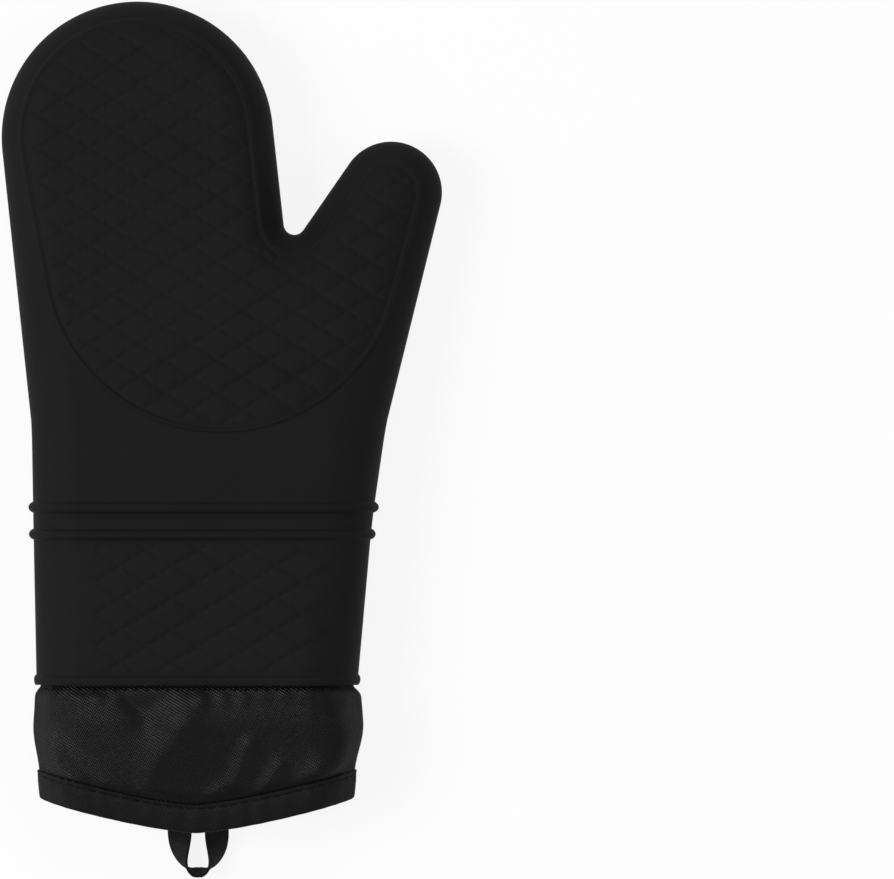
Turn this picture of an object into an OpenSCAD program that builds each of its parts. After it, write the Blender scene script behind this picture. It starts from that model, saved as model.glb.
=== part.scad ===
// Long silicone oven mitt with a padded cotton liner, a bound twill cuff and a hanging loop.
// It lies on its back with the palm up: X points to the thumb side, Y to the fingertips, Z up.
// Lengths along Y are measured from the lower edge of the silicone, and the whole is then centred.

/* [Sleeve] */
// Width of the sleeve at the lower edge of the silicone
sleeve_w = 136; // [128:1:142]
// Width of the sleeve at the wrist ribs
wrist_w = 143.6; // [138:0.2:150]
// How far the middle of the wrist lies towards the thumb
wrist_shift = 2.4; // [0:0.2:5]
// Distance from the lower edge of the silicone to the wrist's flex line
wrist_y = 69.3; // [60:0.1:76]
// Distance from the lower edge of the silicone to where the palm begins
palm_y = 112; // [98:1:120]
// Thickness of the mitt at the palm and the sleeve
palm_t = 44; // [40:1:52]
// Reach of the rounded sides from the edge towards the middle
side_r = 21; // [18:0.5:21.5]

/* [Fingers] */
// Radius of the fingertip end, half the width of the finger pocket
finger_r = 57.6; // [52:0.2:62]
// Distance from the lower edge of the silicone to the fingertips
finger_reach = 289.4; // [270:0.2:310]
// How far the fingertip centre lies away from the thumb
finger_shift = 25.4; // [20:0.2:30]
// Lean of the finger pocket away from the thumb
finger_lean = 6.3; // [4:0.1:8]
// Thickness of the finger pocket
finger_t = 38; // [34:1:44]

/* [Thumb] */
// Radius of the thumb tip
thumb_r = 21.6; // [21:0.1:24]
// How far the thumb tip centre lies from the sleeve's middle
thumb_shift = 82.2; // [78:0.2:88]
// Distance from the lower edge of the silicone to the thumb tip centre
thumb_y = 208.5; // [198:0.5:218]
// Lean of the thumb's edge next to the fingers
thumb_in = 34.6; // [31:0.2:38]
// Lean of the thumb's outer edge
thumb_out = 14; // [12:0.2:16]
// Thickness of the thumb pocket
thumb_t = 34; // [30:1:40]
// Radius of the web between thumb and fingers
web_r = 4.5; // [3.5:0.1:6]

/* [Layers] */
// Thickness of the silicone skin
silicone_t = 2; // [1.6:0.1:2.4]
// Thickness of the felt batting
batting_t = 3.5; // [2.5:0.1:4]
// Thickness of the cotton lining
lining_t = 1; // [0.8:0.1:1.2]

/* [Ribs] */
// Width of a moulded rib
rib_w = 4.6; // [3:0.1:5.5]
// Height of the two wrist ribs
rib_h = 2.1; // [1.2:0.1:2.6]
// Distance between the two wrist ribs
rib_pitch = 11.4; // [9:0.2:14]
// Height of the rib on the lower edge
edge_rib_h = 1.1; // [0.6:0.1:1.6]

/* [Quilting] */
// How far the pad's raised border lies inside the outline
pad_inset = 9.2; // [7:0.2:11]
// Width of the raised border
bead_w = 2.8; // [2:0.1:3.6]
// Radius of the pad's round lower end
heel_r = 74.4; // [68:0.2:78]
// How far the middle of the lower end lies towards the thumb
heel_x = 10.6; // [7:0.2:14]
// Distance from the lower edge of the silicone to the middle of the lower end
heel_y = 181.8; // [174:0.2:188]
// Width of one diamond
diamond_w = 21.7; // [18:0.1:26]
// Height of one diamond
diamond_h = 13.8; // [11:0.1:17]
// Width of the valleys between diamonds
valley_w = 2.4; // [1.6:0.1:3.2]
// How far the diamonds and the border stand out
pad_h = 0.8; // [0.4:0.1:1.1]
// Place of the first diamond on the palm, across and along
diamond_x = 31.8; // [20:0.1:40]
diamond_y = 157.6; // [150:0.1:165]
// Place of the first diamond on the sleeve, across and along
sleeve_x = -41.8; // [-46:0.1:-36]
sleeve_y = 50.5; // [46:0.1:54]
// Number of columns of diamonds on the sleeve
sleeve_n = 9; // [5:2:9]

/* [Cuff] */
// Length of the cuff at its sides
cuff_len = 47.5; // [40:0.5:56]
// How far the hem dips below its sides in the middle
hem_dip = 14; // [10:0.5:18]
// Width of the cuff where it is widest
cuff_w = 139; // [134:0.5:142]
// Width of the hem
hem_w = 133.6; // [128:0.2:140]
// Thickness of the mitt at its mouth
mouth_t = 42; // [40:1:48]
// Thickness of the cuff's twill
cuff_t = 1; // [0.8:0.1:1.2]
// How far the twill is tucked in behind the silicone
tuck = 8; // [5:0.5:12]
// Width of the binding tape on each side of the hem
binding_w = 10; // [8:0.2:12]
// Thickness of the binding tape
binding_t = 0.6; // [0.5:0.05:0.65]

/* [Loop] */
// Width of the loop's tape
tape_w = 10.2; // [8:0.2:11]
// Thickness of the loop's tape
tape_t = 1.2; // [0.8:0.1:1.6]
// Distance between the middles of the loop's two legs
loop_w = 15.8; // [14.4:0.2:18]
// How far the loop reaches below the hem
loop_len = 19; // [16:0.5:24]
// Turn of the tape at the loop's lower end
loop_twist = 66; // [50:1:75]
// Length of the loop's sewn ends
tail_len = 8.5; // [6:0.5:9]

/* [Thread] */
// Diameter of the sewing thread
thread_d = 0.6; // [0.4:0.1:0.7]
// Length of one stitch on the surface
stitch_len = 2.8; // [2:0.1:3.2]
// Distance from one stitch to the next
stitch_pitch = 4.4; // [4:0.1:6]

/* [Flex] */
// Distance from the lower edge of the silicone to the finger flex line
finger_flex_y = 213; // [206:0.5:222]
// Distance from the web to the thumb flex line
thumb_flex = 12; // [8:0.5:16]
// Direction of the thumb across its flex line
thumb_turn = 52; // [46:1:56]
// Gap left open at each flex line
flex_gap = 0.3; // [0.2:0.05:0.6]

/* [Hidden] */
// Points on each rounded side of a cross-section
arc_n = 12;
// Angles at which the round tips are cut into slices
tip_angles = [0, 10, 20, 30, 40, 50, 59, 67, 74, 80, 85, 88.5];
// Larger than the mitt in every direction
reach = 700;
// Depths of the layers below the outer surface
batting_in = silicone_t + batting_t;
wall = batting_in + lining_t;
cuff_out = silicone_t - cuff_t;
// Lowest point of the hem and start of the loop
hem_low = cuff_len + hem_dip;
sleeve_end = hem_low + 4;
tail_end = hem_low + binding_t;
loop_root = tail_end + tape_t / 2 + flex_gap;
loop_z = wall + binding_t + tape_t / 2;
loop_end = tail_end + loop_len;
// Height of the loop's middle where its turned tape stands on the ground
loop_low_z = tape_w / 2 * sin(loop_twist) + tape_t / 2 * cos(loop_twist);
// Slices of the finger and thumb pockets start inside the sleeve
pocket_y = wrist_y + flex_gap / 2;
finger_y = finger_reach - finger_r;
// Plan of the web: where the two edges would meet, and the round between them
edge_f = -finger_shift + finger_y * tan(finger_lean) + finger_r / cos(finger_lean);
edge_t = thumb_shift - thumb_y * tan(thumb_in) - thumb_r / cos(thumb_in);
apex_y = (edge_f - edge_t) / (tan(finger_lean) + tan(thumb_in));
apex = [edge_t + apex_y * tan(thumb_in), apex_y];
web_half = (thumb_in + finger_lean) / 2;
web_dir = [sin((thumb_in - finger_lean) / 2), cos((thumb_in - finger_lean) / 2)];
web_mid = apex + web_dir * web_r / sin(web_half);
web_low = web_mid - web_dir * web_r;
thumb_hinge = web_low + thumb_flex * [sin(thumb_turn), cos(thumb_turn)];
// Middles of the three rounds that the pad's border runs along
heel_mid = [heel_x, heel_y];
finger_mid = [-finger_shift, finger_y];
thumb_mid = [thumb_shift, thumb_y];
// Angles at which the border leaves the lower end for the fingers and for the thumb
finger_leave = leave(finger_mid - heel_mid, finger_r - pad_inset, 1);
thumb_leave = leave(thumb_mid - heel_mid, thumb_r - pad_inset, -1);
// Moves the middle of the mitt's box to the origin
centre_x = (thumb_shift + thumb_r - finger_shift - finger_r) / 2;
centre_y = (finger_reach - loop_end) / 2;

// Edges of the finger pocket at height y, set in by depth d
function finger_left(y, d) =
    let (r = finger_r - d)
    y < finger_y - r * sin(finger_lean)
        ? -finger_shift + (finger_y - y) * tan(finger_lean) - r / cos(finger_lean)
        : -finger_shift - sqrt(max(0, r * r - pow(y - finger_y, 2)));

function finger_right(y, d) =
    let (r = finger_r - d)
    y < finger_y + r * sin(finger_lean)
        ? -finger_shift + (finger_y - y) * tan(finger_lean) + r / cos(finger_lean)
        : -finger_shift + sqrt(max(0, r * r - pow(y - finger_y, 2)));

// Edges of the thumb pocket at height y, set in by depth d
function thumb_left(y, d) =
    let (r = thumb_r - d)
    y < thumb_y + r * sin(thumb_in)
        ? thumb_shift + (y - thumb_y) * tan(thumb_in) - r / cos(thumb_in)
        : thumb_shift - sqrt(max(0, r * r - pow(y - thumb_y, 2)));

function thumb_right(y, d) =
    let (r = thumb_r - d)
    y < thumb_y - r * sin(thumb_out)
        ? thumb_shift + (y - thumb_y) * tan(thumb_out) + r / cos(thumb_out)
        : thumb_shift + sqrt(max(0, r * r - pow(y - thumb_y, 2)));

// Edges of the sleeve and the cuff at height y, set in by depth d
function sleeve_left(y, d) = lookup(y, [
    [-cuff_len, d - hem_w / 2],
    [-cuff_len * 0.45, d - cuff_w / 2],
    [0, d - sleeve_w / 2],
    [wrist_y, d + wrist_shift - wrist_w / 2],
    [palm_y, finger_left(palm_y, d)]]);

function sleeve_right(y, d) = lookup(y, [
    [-cuff_len, hem_w / 2 - d],
    [-cuff_len * 0.45, cuff_w / 2 - d],
    [0, sleeve_w / 2 - d],
    [wrist_y, wrist_shift + wrist_w / 2 - d],
    [palm_y, thumb_right(palm_y, d)]]);

// Half thicknesses at height y
function sleeve_half(y) = lookup(y, [[-sleeve_end, mouth_t / 2], [0, palm_t / 2]]);
function finger_half(y) = lookup(y, [[palm_y, palm_t / 2], [finger_y, finger_t / 2]]);
function thumb_half(y) = lookup(y, [[palm_y, palm_t / 2], [thumb_y, thumb_t / 2]]);

// How much of the half thickness is left near a round tip that ends at height top
function tip_part(y, top, d) = sqrt(1 - pow(max(0, (y - top) / (side_r - d) + 1), 2));

// Cross-section at height y: flat above and below, rounded at both sides
function ring(y, left, right, half, middle, d) =
    let (w = min(side_r - d, (right - left) / 2))
    concat(
        [for (i = [0:arc_n]) let (a = 180 * i / arc_n - 90)
            [right - w + w * cos(a), y, middle + half * sin(a)]],
        [for (i = [0:arc_n]) let (a = 180 * i / arc_n + 90)
            [left + w + w * cos(a), y, middle + half * sin(a)]]);

function sleeve_ring(y, d) =
    ring(y, sleeve_left(y, d), sleeve_right(y, d), sleeve_half(y) - d, sleeve_half(y), d);

function finger_ring(y, d) =
    let (part = tip_part(y, finger_reach - d, d))
    ring(y, finger_left(y, d), finger_right(y, d), (finger_half(y) - d) * part, finger_half(y), d);

function thumb_ring(y, d) =
    let (part = tip_part(y, thumb_y + thumb_r - d, d))
    ring(y, thumb_left(y, d), thumb_right(y, d), (thumb_half(y) - d) * part, thumb_half(y), d);

// Height of the hem's edge across the mitt
function hem(x) = -hem_low + hem_dip * pow(min(1, abs(x) * 2 / hem_w), 1.4);

// Point on the outside of the cuff: u runs round it, a quarter each for top, side, bottom and side
function cuff_point(u, rise, d) =
    let (k = floor(u), f = u - k, w = side_r - d)
    let (
        a = k == 1 ? 90 - 180 * f : k == 3 ? 270 - 180 * f : k == 0 ? 90 : -90,
        left = sleeve_left(-cuff_len, 0) + side_r,
        right = sleeve_right(-cuff_len, 0) - side_r,
        x = k == 0 ? left + (right - left) * f : k == 2 ? right + (left - right) * f
            : k == 1 ? right + w * cos(a) : left + w * cos(a),
        y = is_undef(rise) ? -thread_d * 3 : hem(x) + rise,
        side = k == 1 ? sleeve_right(y, 0) - sleeve_right(-cuff_len, 0)
            : k == 3 ? sleeve_left(y, 0) - sleeve_left(-cuff_len, 0) : 0)
    [x + side, y, sleeve_half(y) + (sleeve_half(y) - d) * sin(a)];

// Solid between two neighbouring cross-sections
module slice(a, b) {
    points = concat(a, b);
    hull() polyhedron(points = points, faces = [[for (i = [0:len(points) - 1]) i]]);
}

module stack(rings) {
    for (i = [0:len(rings) - 2]) slice(rings[i], rings[i + 1]);
}

// Filled sleeve, finger pocket and thumb pocket, set in by depth d
module sleeve_form(d) {
    heights = [-sleeve_end, -cuff_len, -cuff_len * 0.45, 0, wrist_y / 2, wrist_y, palm_y];
    stack([for (y = heights) sleeve_ring(y, d)]);
}

module finger_form(d) {
    low = [pocket_y, palm_y, (palm_y + finger_y) / 2];
    tip = [for (a = tip_angles) finger_y + (finger_r - d) * sin(a)];
    stack([for (y = concat(low, tip)) finger_ring(y, d)]);
}

module thumb_form(d) {
    low = [pocket_y, palm_y, palm_y * 0.4 + thumb_y * 0.6];
    tip = [for (a = tip_angles) thumb_y + (thumb_r - d) * sin(a)];
    stack([for (y = concat(low, tip)) thumb_ring(y, d)]);
}

module hand_form(d) {
    sleeve_form(d);
    finger_form(d);
    thumb_form(d);
}

// Fillet between thumb and fingers
module web() {
    foot_f = web_mid - web_r * [cos(finger_lean), sin(finger_lean)];
    foot_t = web_mid + web_r * [cos(thumb_in), -sin(thumb_in)];
    height = thumb_t / 2;
    translate([0, 0, (thumb_half(apex_y) * 2 - height) / 2])
        linear_extrude(height)
            difference() {
                offset(delta = web_r / 3) polygon([apex, foot_f, web_mid, foot_t]);
                translate(web_mid) circle(r = web_r, $fn = 48);
                translate(web_mid - web_dir * web_r / 2) rotate((finger_lean - thumb_in) / 2)
                    translate([-web_r * 2, web_r * 0.4]) square(web_r * 4);
            }
}

// Filled sleeve with its raised ribs: each step is a height and how far it is set in
module ribbed_sleeve() {
    low = wrist_y - rib_pitch / 2;
    high = wrist_y + rib_pitch / 2;
    steps = concat(
        [[0, -edge_rib_h / 2], [rib_w * 0.3, -edge_rib_h], [rib_w * 0.6, -edge_rib_h], [rib_w * 0.9, 0]],
        [for (y = [low, high]) each [
            [y - rib_w / 2, 0], [y - rib_w / 5, -rib_h], [y + rib_w / 5, -rib_h], [y + rib_w / 2, 0]]],
        [[palm_y, 0]]);
    stack([for (s = steps) sleeve_ring(s[0], s[1])]);
}

// Angle at which a line leaves the lower end of the pad to touch a round of radius r at v, on one side
function leave(v, r, side) = atan2(v[1], v[0]) + side * acos((heel_r - r) / norm(v));

// Points on a round from one angle to another
function round_points(mid, r, from, to, n) =
    [for (i = [0:n]) let (a = from + (to - from) * i / n) mid + r * [cos(a), sin(a)]];

// Points on a very flat bow between two points
function bow(a, b, n) =
    let (v = b - a, out = [-v[1], v[0]] / norm(v) * pad_h / 2)
    [for (i = [1:n - 1]) a + v * i / n + out * sin(180 * i / n)];

// Middle line of the pad's border: over the fingers, round the web, over the thumb and round the lower end
function border() =
    let (
        fingers = round_points(finger_mid, finger_r - pad_inset, finger_leave, finger_lean, 22),
        inner = round_points(web_mid, web_r + pad_inset, 180 + finger_lean, 360 - thumb_in, 9),
        thumb = round_points(thumb_mid, thumb_r - pad_inset, 180 - thumb_in, thumb_leave, 10),
        heel = round_points(heel_mid, heel_r, 360 + thumb_leave, finger_leave, 24))
    concat(fingers, bow(fingers[22], inner[0], 5), inner, bow(inner[9], thumb[0], 5), thumb,
        bow(thumb[10], heel[0], 5), heel, bow(heel[24], fingers[0], 7));

// Area inside the border seen from above
module pad_plan(inset) {
    offset(delta = -inset) polygon(border());
}

// Flex lines of the fingers and the thumb seen from above
module flex_lines(half) {
    translate([-reach / 2, finger_flex_y - half]) square([reach, half * 2]);
    translate(thumb_hinge) rotate(-thumb_turn) translate([-web_r * 5, -half]) square([reach, half * 2]);
}

// How much smaller a diamond is than the largest: no two beside each other are the same, as in any mould
function hair(i, j) = (i * i + 3 * j * j + i * j) % 7 * 0.005;

// Diamond in column i and row j, counted from a first one
module diamond(first, i, j) {
    half = [diamond_w, diamond_h] / 2;
    part = 1 - valley_w * norm(half) / (half[0] * half[1]) / 2 - hair(i, j);
    translate(first + [i * half[0], j * half[1]])
        polygon([[half[0] * part, 0], [0, half[1] * part], [-half[0] * part, 0], [0, -half[1] * part]]);
}

// Border and diamonds of the pad seen from above, set back from the flex lines
module pad_pattern() {
    difference() {
        pad_plan(-bead_w / 2);
        pad_plan(bead_w / 2);
        flex_lines(pad_h);
    }
    for (i = [-11:6], j = [-8:18])
        if ((i + j) % 2 == 0)
            difference() {
                intersection() {
                    diamond([diamond_x, diamond_y], i, j);
                    pad_plan((bead_w + valley_w) / 2 + hair(i, j) * diamond_h);
                }
                flex_lines(pad_h + hair(i, j) * diamond_h);
            }
}

// Raised pattern on the palm's face of a layer
module pad_relief() {
    intersection() {
        translate([0, 0, palm_t / 2]) linear_extrude(palm_t) pad_pattern();
        children();
    }
}

// Raised diamonds on the palm's face of the sleeve, between its ribs
module sleeve_relief() {
    low = rib_w * 1.1;
    high = wrist_y - rib_pitch / 2 - rib_w * 0.7;
    intersection() {
        translate([0, 0, palm_t / 2])
            linear_extrude(palm_t)
                for (i = [0:sleeve_n - 1], j = [-7:1])
                    if ((i + j) % 2 == 0)
                        intersection() {
                            diamond([sleeve_x, sleeve_y], i, j);
                            translate([-reach / 2, low + hair(i, j) * diamond_h])
                                square([reach, high - low - 2 * hair(i, j) * diamond_h]);
                        }
        difference() {
            sleeve_form(-pad_h);
            sleeve_form(silicone_t / 2);
        }
    }
}

// Parts of space that belong to each moving section
module gauntlet_side() {
    translate([-reach / 2, wrist_y - flex_gap / 2 - reach, 0]) cube(reach);
}

module palm_side() {
    difference() {
        translate([-reach / 2, wrist_y + flex_gap / 2, 0])
            cube([reach, finger_flex_y - wrist_y - flex_gap, reach]);
        thumb_side(-flex_gap / 2);
    }
}

module finger_side() {
    translate([-reach / 2, finger_flex_y + flex_gap / 2, 0]) cube(reach);
}

module thumb_side(offset_y) {
    translate(thumb_hinge) rotate(-thumb_turn) translate([-reach / 2, offset_y, 0]) cube(reach);
}

// Everything above the hem's edge, moved by rise
module above_hem(rise) {
    half = hem_w / 2 + 5;
    steps = 28;
    edge = [for (i = [0:steps]) let (x = half * (2 * i / steps - 1)) [x, hem(x) + rise]];
    linear_extrude(reach) polygon(concat([[-half, reach / 2]], edge, [[half, reach / 2]]));
}

// One layer of the gauntlet, the palm, the fingers or the thumb between two depths
module gauntlet_layer(from, to) {
    intersection() {
        difference() {
            sleeve_form(from);
            sleeve_form(to);
        }
        gauntlet_side();
        above_hem(0);
    }
}

module palm_layer(from, to) {
    intersection() {
        difference() {
            hand_form(from);
            hand_form(to);
        }
        palm_side();
    }
}

module finger_layer(from, to) {
    intersection() {
        difference() {
            finger_form(from);
            finger_form(to);
        }
        finger_side();
    }
}

module thumb_layer(from, to) {
    intersection() {
        difference() {
            thumb_form(from);
            thumb_form(to);
        }
        thumb_side(flex_gap / 2);
    }
}

// Twill tube from the hem to where it ends behind the silicone
module cuff() {
    intersection() {
        difference() {
            sleeve_form(cuff_out);
            sleeve_form(silicone_t);
        }
        above_hem(0);
        translate([-reach / 2, tuck - reach, 0]) cube(reach);
    }
}

// Thread between two points
module thread(a, b) {
    v = b - a;
    translate(a)
        rotate([0, acos(v[2] / norm(v)), atan2(v[1], v[0])])
            cylinder(h = norm(v), d = thread_d, $fn = 24);
}

// Row of stitches round the cuff
module stitch_row(rise, d) {
    flat_n = floor((hem_w - 2 * side_r) / stitch_pitch);
    side_n = floor((palm_t + side_r) / stitch_pitch);
    part = stitch_len / stitch_pitch;
    for (k = [0:3]) {
        n = k % 2 == 0 ? flat_n : side_n;
        for (i = [0:n - 1]) thread(
            cuff_point(k + (i + 0.5 - part / 2) / n, rise, d),
            cuff_point(k + (i + 0.5 + part / 2) / n, rise, d));
    }
}

// Cross-section of the loop's tape: p is its middle, a the direction it runs in, turn its twist
function tape_ring(p, a, turn) =
    let (
        across = [-sin(a) * cos(turn), cos(a) * cos(turn), sin(turn)] * tape_w / 2,
        thick = [sin(a) * sin(turn), -cos(a) * sin(turn), cos(turn)] * tape_t / 2)
    [p + across + thick, p - across + thick, p - across - thick, p + across - thick];

module silicone_gauntlet() {
    color("#202021")
        union() {
            difference() {
                intersection() {
                    ribbed_sleeve();
                    gauntlet_side();
                }
                sleeve_form(silicone_t);
                intersection() {
                    sleeve_form(cuff_out);
                    translate([-reach / 2, tuck - reach, -reach / 2]) cube(reach);
                }
            }
            sleeve_relief();
        }
}

module silicone_palm() {
    color("#202021")
        union() {
            intersection() {
                difference() {
                    union() {
                        ribbed_sleeve();
                        finger_form(0);
                        thumb_form(0);
                        web();
                    }
                    hand_form(silicone_t);
                }
                palm_side();
            }
            pad_relief() palm_layer(-pad_h, silicone_t / 2);
        }
}

module silicone_fingers() {
    color("#202021")
        union() {
            finger_layer(0, silicone_t);
            pad_relief() finger_layer(-pad_h, silicone_t / 2);
        }
}

module silicone_thumb() {
    color("#202021")
        union() {
            thumb_layer(0, silicone_t);
            pad_relief() thumb_layer(-pad_h, silicone_t / 2);
        }
}

module batting_gauntlet() {
    color("#d9d4c8") gauntlet_layer(silicone_t, batting_in);
}

module batting_palm() {
    color("#d9d4c8") palm_layer(silicone_t, batting_in);
}

module batting_fingers() {
    color("#d9d4c8") finger_layer(silicone_t, batting_in);
}

module batting_thumb() {
    color("#d9d4c8") thumb_layer(silicone_t, batting_in);
}

module lining_gauntlet() {
    color("#3a3a3c") gauntlet_layer(batting_in, wall);
}

module lining_palm() {
    color("#3a3a3c") palm_layer(batting_in, wall);
}

module lining_fingers() {
    color("#3a3a3c") finger_layer(batting_in, wall);
}

module lining_thumb() {
    color("#3a3a3c") thumb_layer(batting_in, wall);
}

module cuff_palm_panel() {
    color("#242426")
        intersection() {
            cuff();
            translate([-reach / 2, -reach / 2, mouth_t / 2]) cube(reach);
        }
}

module cuff_back_panel() {
    color("#242426")
        intersection() {
            cuff();
            translate([-reach / 2, -reach / 2, mouth_t / 2 - reach]) cube(reach);
        }
}

module hem_binding() {
    color("#2a2a2c")
        difference() {
            intersection() {
                difference() {
                    sleeve_form(cuff_out - binding_t);
                    sleeve_form(wall + binding_t);
                }
                above_hem(-binding_t);
            }
            above_hem(binding_w);
            intersection() {
                difference() {
                    sleeve_form(cuff_out);
                    sleeve_form(wall);
                }
                above_hem(0);
            }
        }
}

module loop_tails() {
    color("#2a2a2c")
        for (side = [-1, 1])
            translate([side * loop_w / 2 - tape_w / 2, -tail_end, loop_z - tape_t / 2])
                cube([tape_w, tail_len + binding_t, tape_t]);
}

module hanging_loop() {
    lift = tape_w / 2 * cos(loop_twist) + tape_t / 2 * sin(loop_twist);
    drop = loop_end - loop_root - lift;
    bend = drop * 0.62;
    bend_n = 24;
    start = [tape_ring([-loop_w / 2, -loop_root, loop_z], -90, 0)];
    round = [for (i = [0:bend_n])
        let (
            a = 180 + 180 * i / bend_n,
            s = -sin(a),
            dir = atan2(bend * cos(a), -loop_w / 2 * sin(a)),
            z = loop_z + (loop_low_z - loop_z) * s)
        tape_ring([loop_w / 2 * cos(a), -loop_root - drop + bend - bend * s, z], dir, loop_twist * s)];
    stop = [tape_ring([loop_w / 2, -loop_root, loop_z], 90, 0)];
    rings = concat(start, round, stop);
    n = len(rings);
    points = [for (r = rings, p = r) p];
    sides = [for (i = [0:n - 2], k = [0:3])
        [4 * i + k, 4 * i + (k + 1) % 4, 4 * i + 4 + (k + 1) % 4, 4 * i + 4 + k]];
    ends = [[3, 2, 1, 0], [4 * n - 4, 4 * n - 3, 4 * n - 2, 4 * n - 1]];
    color("#2a2a2c")
        polyhedron(points = points, faces = concat([for (f = sides) [f[0], f[1], f[2]]],
            [for (f = sides) [f[0], f[2], f[3]]], ends));
}

module cuff_seam_stitches() {
    color("#121213") stitch_row(undef, cuff_out);
}

module binding_stitches() {
    color("#121213") stitch_row(binding_w - thread_d * 2, cuff_out - binding_t);
}

module loop_bar_tacks() {
    color("#121213")
        for (side = [-1, 1], i = [0:4])
            let (y = -tail_end + tail_len * 0.45 + i * thread_d * 1.3, z = loop_z + tape_t / 2)
            thread([side * loop_w / 2 - tape_w * 0.4, y, z], [side * loop_w / 2 + tape_w * 0.4, y, z]);
}

translate([-centre_x, -centre_y, 0]) {
    silicone_gauntlet();
    silicone_palm();
    silicone_fingers();
    silicone_thumb();
    batting_gauntlet();
    batting_palm();
    batting_fingers();
    batting_thumb();
    lining_gauntlet();
    lining_palm();
    lining_fingers();
    lining_thumb();
    cuff_palm_panel();
    cuff_back_panel();
    hem_binding();
    loop_tails();
    hanging_loop();
    cuff_seam_stitches();
    binding_stitches();
    loop_bar_tacks();
}
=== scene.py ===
"""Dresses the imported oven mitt: a moulded silicone skin over felt and cotton, with a sewn twill cuff."""

import logging
import math
from dataclasses import dataclass, field
from enum import Enum
from typing import Sequence

import bmesh
import bpy
import numpy as np
from mathutils import Matrix, Vector, geometry

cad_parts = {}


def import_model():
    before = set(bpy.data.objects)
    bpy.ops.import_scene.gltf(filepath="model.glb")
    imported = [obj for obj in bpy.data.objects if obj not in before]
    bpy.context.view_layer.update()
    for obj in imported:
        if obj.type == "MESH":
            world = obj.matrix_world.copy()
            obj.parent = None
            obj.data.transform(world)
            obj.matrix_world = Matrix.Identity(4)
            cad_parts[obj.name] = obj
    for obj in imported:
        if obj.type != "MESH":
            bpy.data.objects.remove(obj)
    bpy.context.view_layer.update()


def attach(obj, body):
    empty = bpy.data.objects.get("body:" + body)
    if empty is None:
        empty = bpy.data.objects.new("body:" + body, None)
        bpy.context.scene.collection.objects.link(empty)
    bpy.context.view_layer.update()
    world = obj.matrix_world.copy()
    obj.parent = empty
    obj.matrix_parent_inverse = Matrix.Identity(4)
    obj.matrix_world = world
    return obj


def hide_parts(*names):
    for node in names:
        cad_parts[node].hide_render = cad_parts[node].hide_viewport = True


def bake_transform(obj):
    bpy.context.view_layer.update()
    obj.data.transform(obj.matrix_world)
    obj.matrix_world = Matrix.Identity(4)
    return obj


log = logging.getLogger("mitt")

Array = np.ndarray
Point = tuple[float, float]
Span = tuple[float, float]
BMesh = bmesh.types.BMesh
Material = bpy.types.Material
Piece = bpy.types.Object
Socket = bpy.types.NodeSocket

MM = 0.001
# The point of the mitt's drawing, in millimetres, that lies at the origin of the shared frame
DRAWING_ORIGIN = (10.4, 104.15, 0.0)
PHOTO_WIDTH_PIXELS = 894
PHOTO_MM_PER_PIXEL = 0.4237
# Points this near to a line lie on it
ON_LINE = 2e-3
# Corners this near to each other are one
ONE_CORNER = 1e-4
# How many points are measured at once, which keeps the memory small
MEASURED_AT_ONCE = 1500
# One band of the wave texture in the texture's own units
WAVE_BAND = 2.0 * math.pi / 20.0


class Region(Enum):
    """The three stretches that each layer is split into, at the wrist and at the root of the thumb."""

    GAUNTLET = "gauntlet"
    HAND = "hand"
    THUMB = "thumb"


class Face(Enum):
    """The two faces of the mitt as it lies."""

    PALM = 1
    BACK = -1


Regions = dict[Region, Piece]
Inputs = dict[str, Socket | float]


# Drawing tools


def fade(value: Array, span: Span) -> Array:
    """Rises smoothly from 0 at a span's start to 1 at its end, which may be the lower one."""
    share = np.clip((value - span[0]) / (span[1] - span[0]), 0.0, 1.0)
    return share * share * (3.0 - 2.0 * share)


def arc(centre: Point, radius: float, start: float, stop: float, step: float = 0.5) -> Array:
    """Points on a round stretch of an outline.

    Args:
        centre: the middle of the circle.
        radius: its radius.
        start, stop: the angles in degrees between which it runs.
        step: the most that two points lie apart.

    Returns:
        The points, one row each.
    """
    count = max(4, math.ceil(abs(math.radians(stop - start)) * radius / step))
    angles = np.radians(np.linspace(start, stop, count + 1))
    return np.array(centre) + radius * np.column_stack((np.cos(angles), np.sin(angles)))


def run_length(line: Array) -> Array:
    """The distance along a line from its start to each of its points."""
    return np.concatenate(([0.0], np.cumsum(np.linalg.norm(np.diff(line, axis=0), axis=1))))


def closed(line: Array) -> Array:
    """A line that ends at its first point."""
    return np.vstack((line, line[:1]))


def resample(line: Array, step: float) -> Array:
    """Spaces the points of a line evenly, and keeps its two ends.

    Args:
        line: the line's points.
        step: the wanted distance between two points.

    Returns:
        The evenly spaced points.
    """
    run = run_length(line)
    marks = np.linspace(0.0, run[-1], max(2, round(run[-1] / step)) + 1)
    return np.column_stack([np.interp(marks, run, line[:, k]) for k in range(2)])


def shifted(line: Array, distance: float, ring: bool = False) -> Array:
    """Moves a line sideways, to the right of its direction.

    Args:
        line: the line's points.
        distance: how far it moves.
        ring: whether its last point joins its first.

    Returns:
        The moved points.
    """
    if ring:
        along = np.roll(line, -1, axis=0) - np.roll(line, 1, axis=0)
    else:
        along = np.gradient(line, axis=0)
    along = along / np.linalg.norm(along, axis=1, keepdims=True)
    return line + distance * np.column_stack((along[:, 1], -along[:, 0]))


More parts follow.
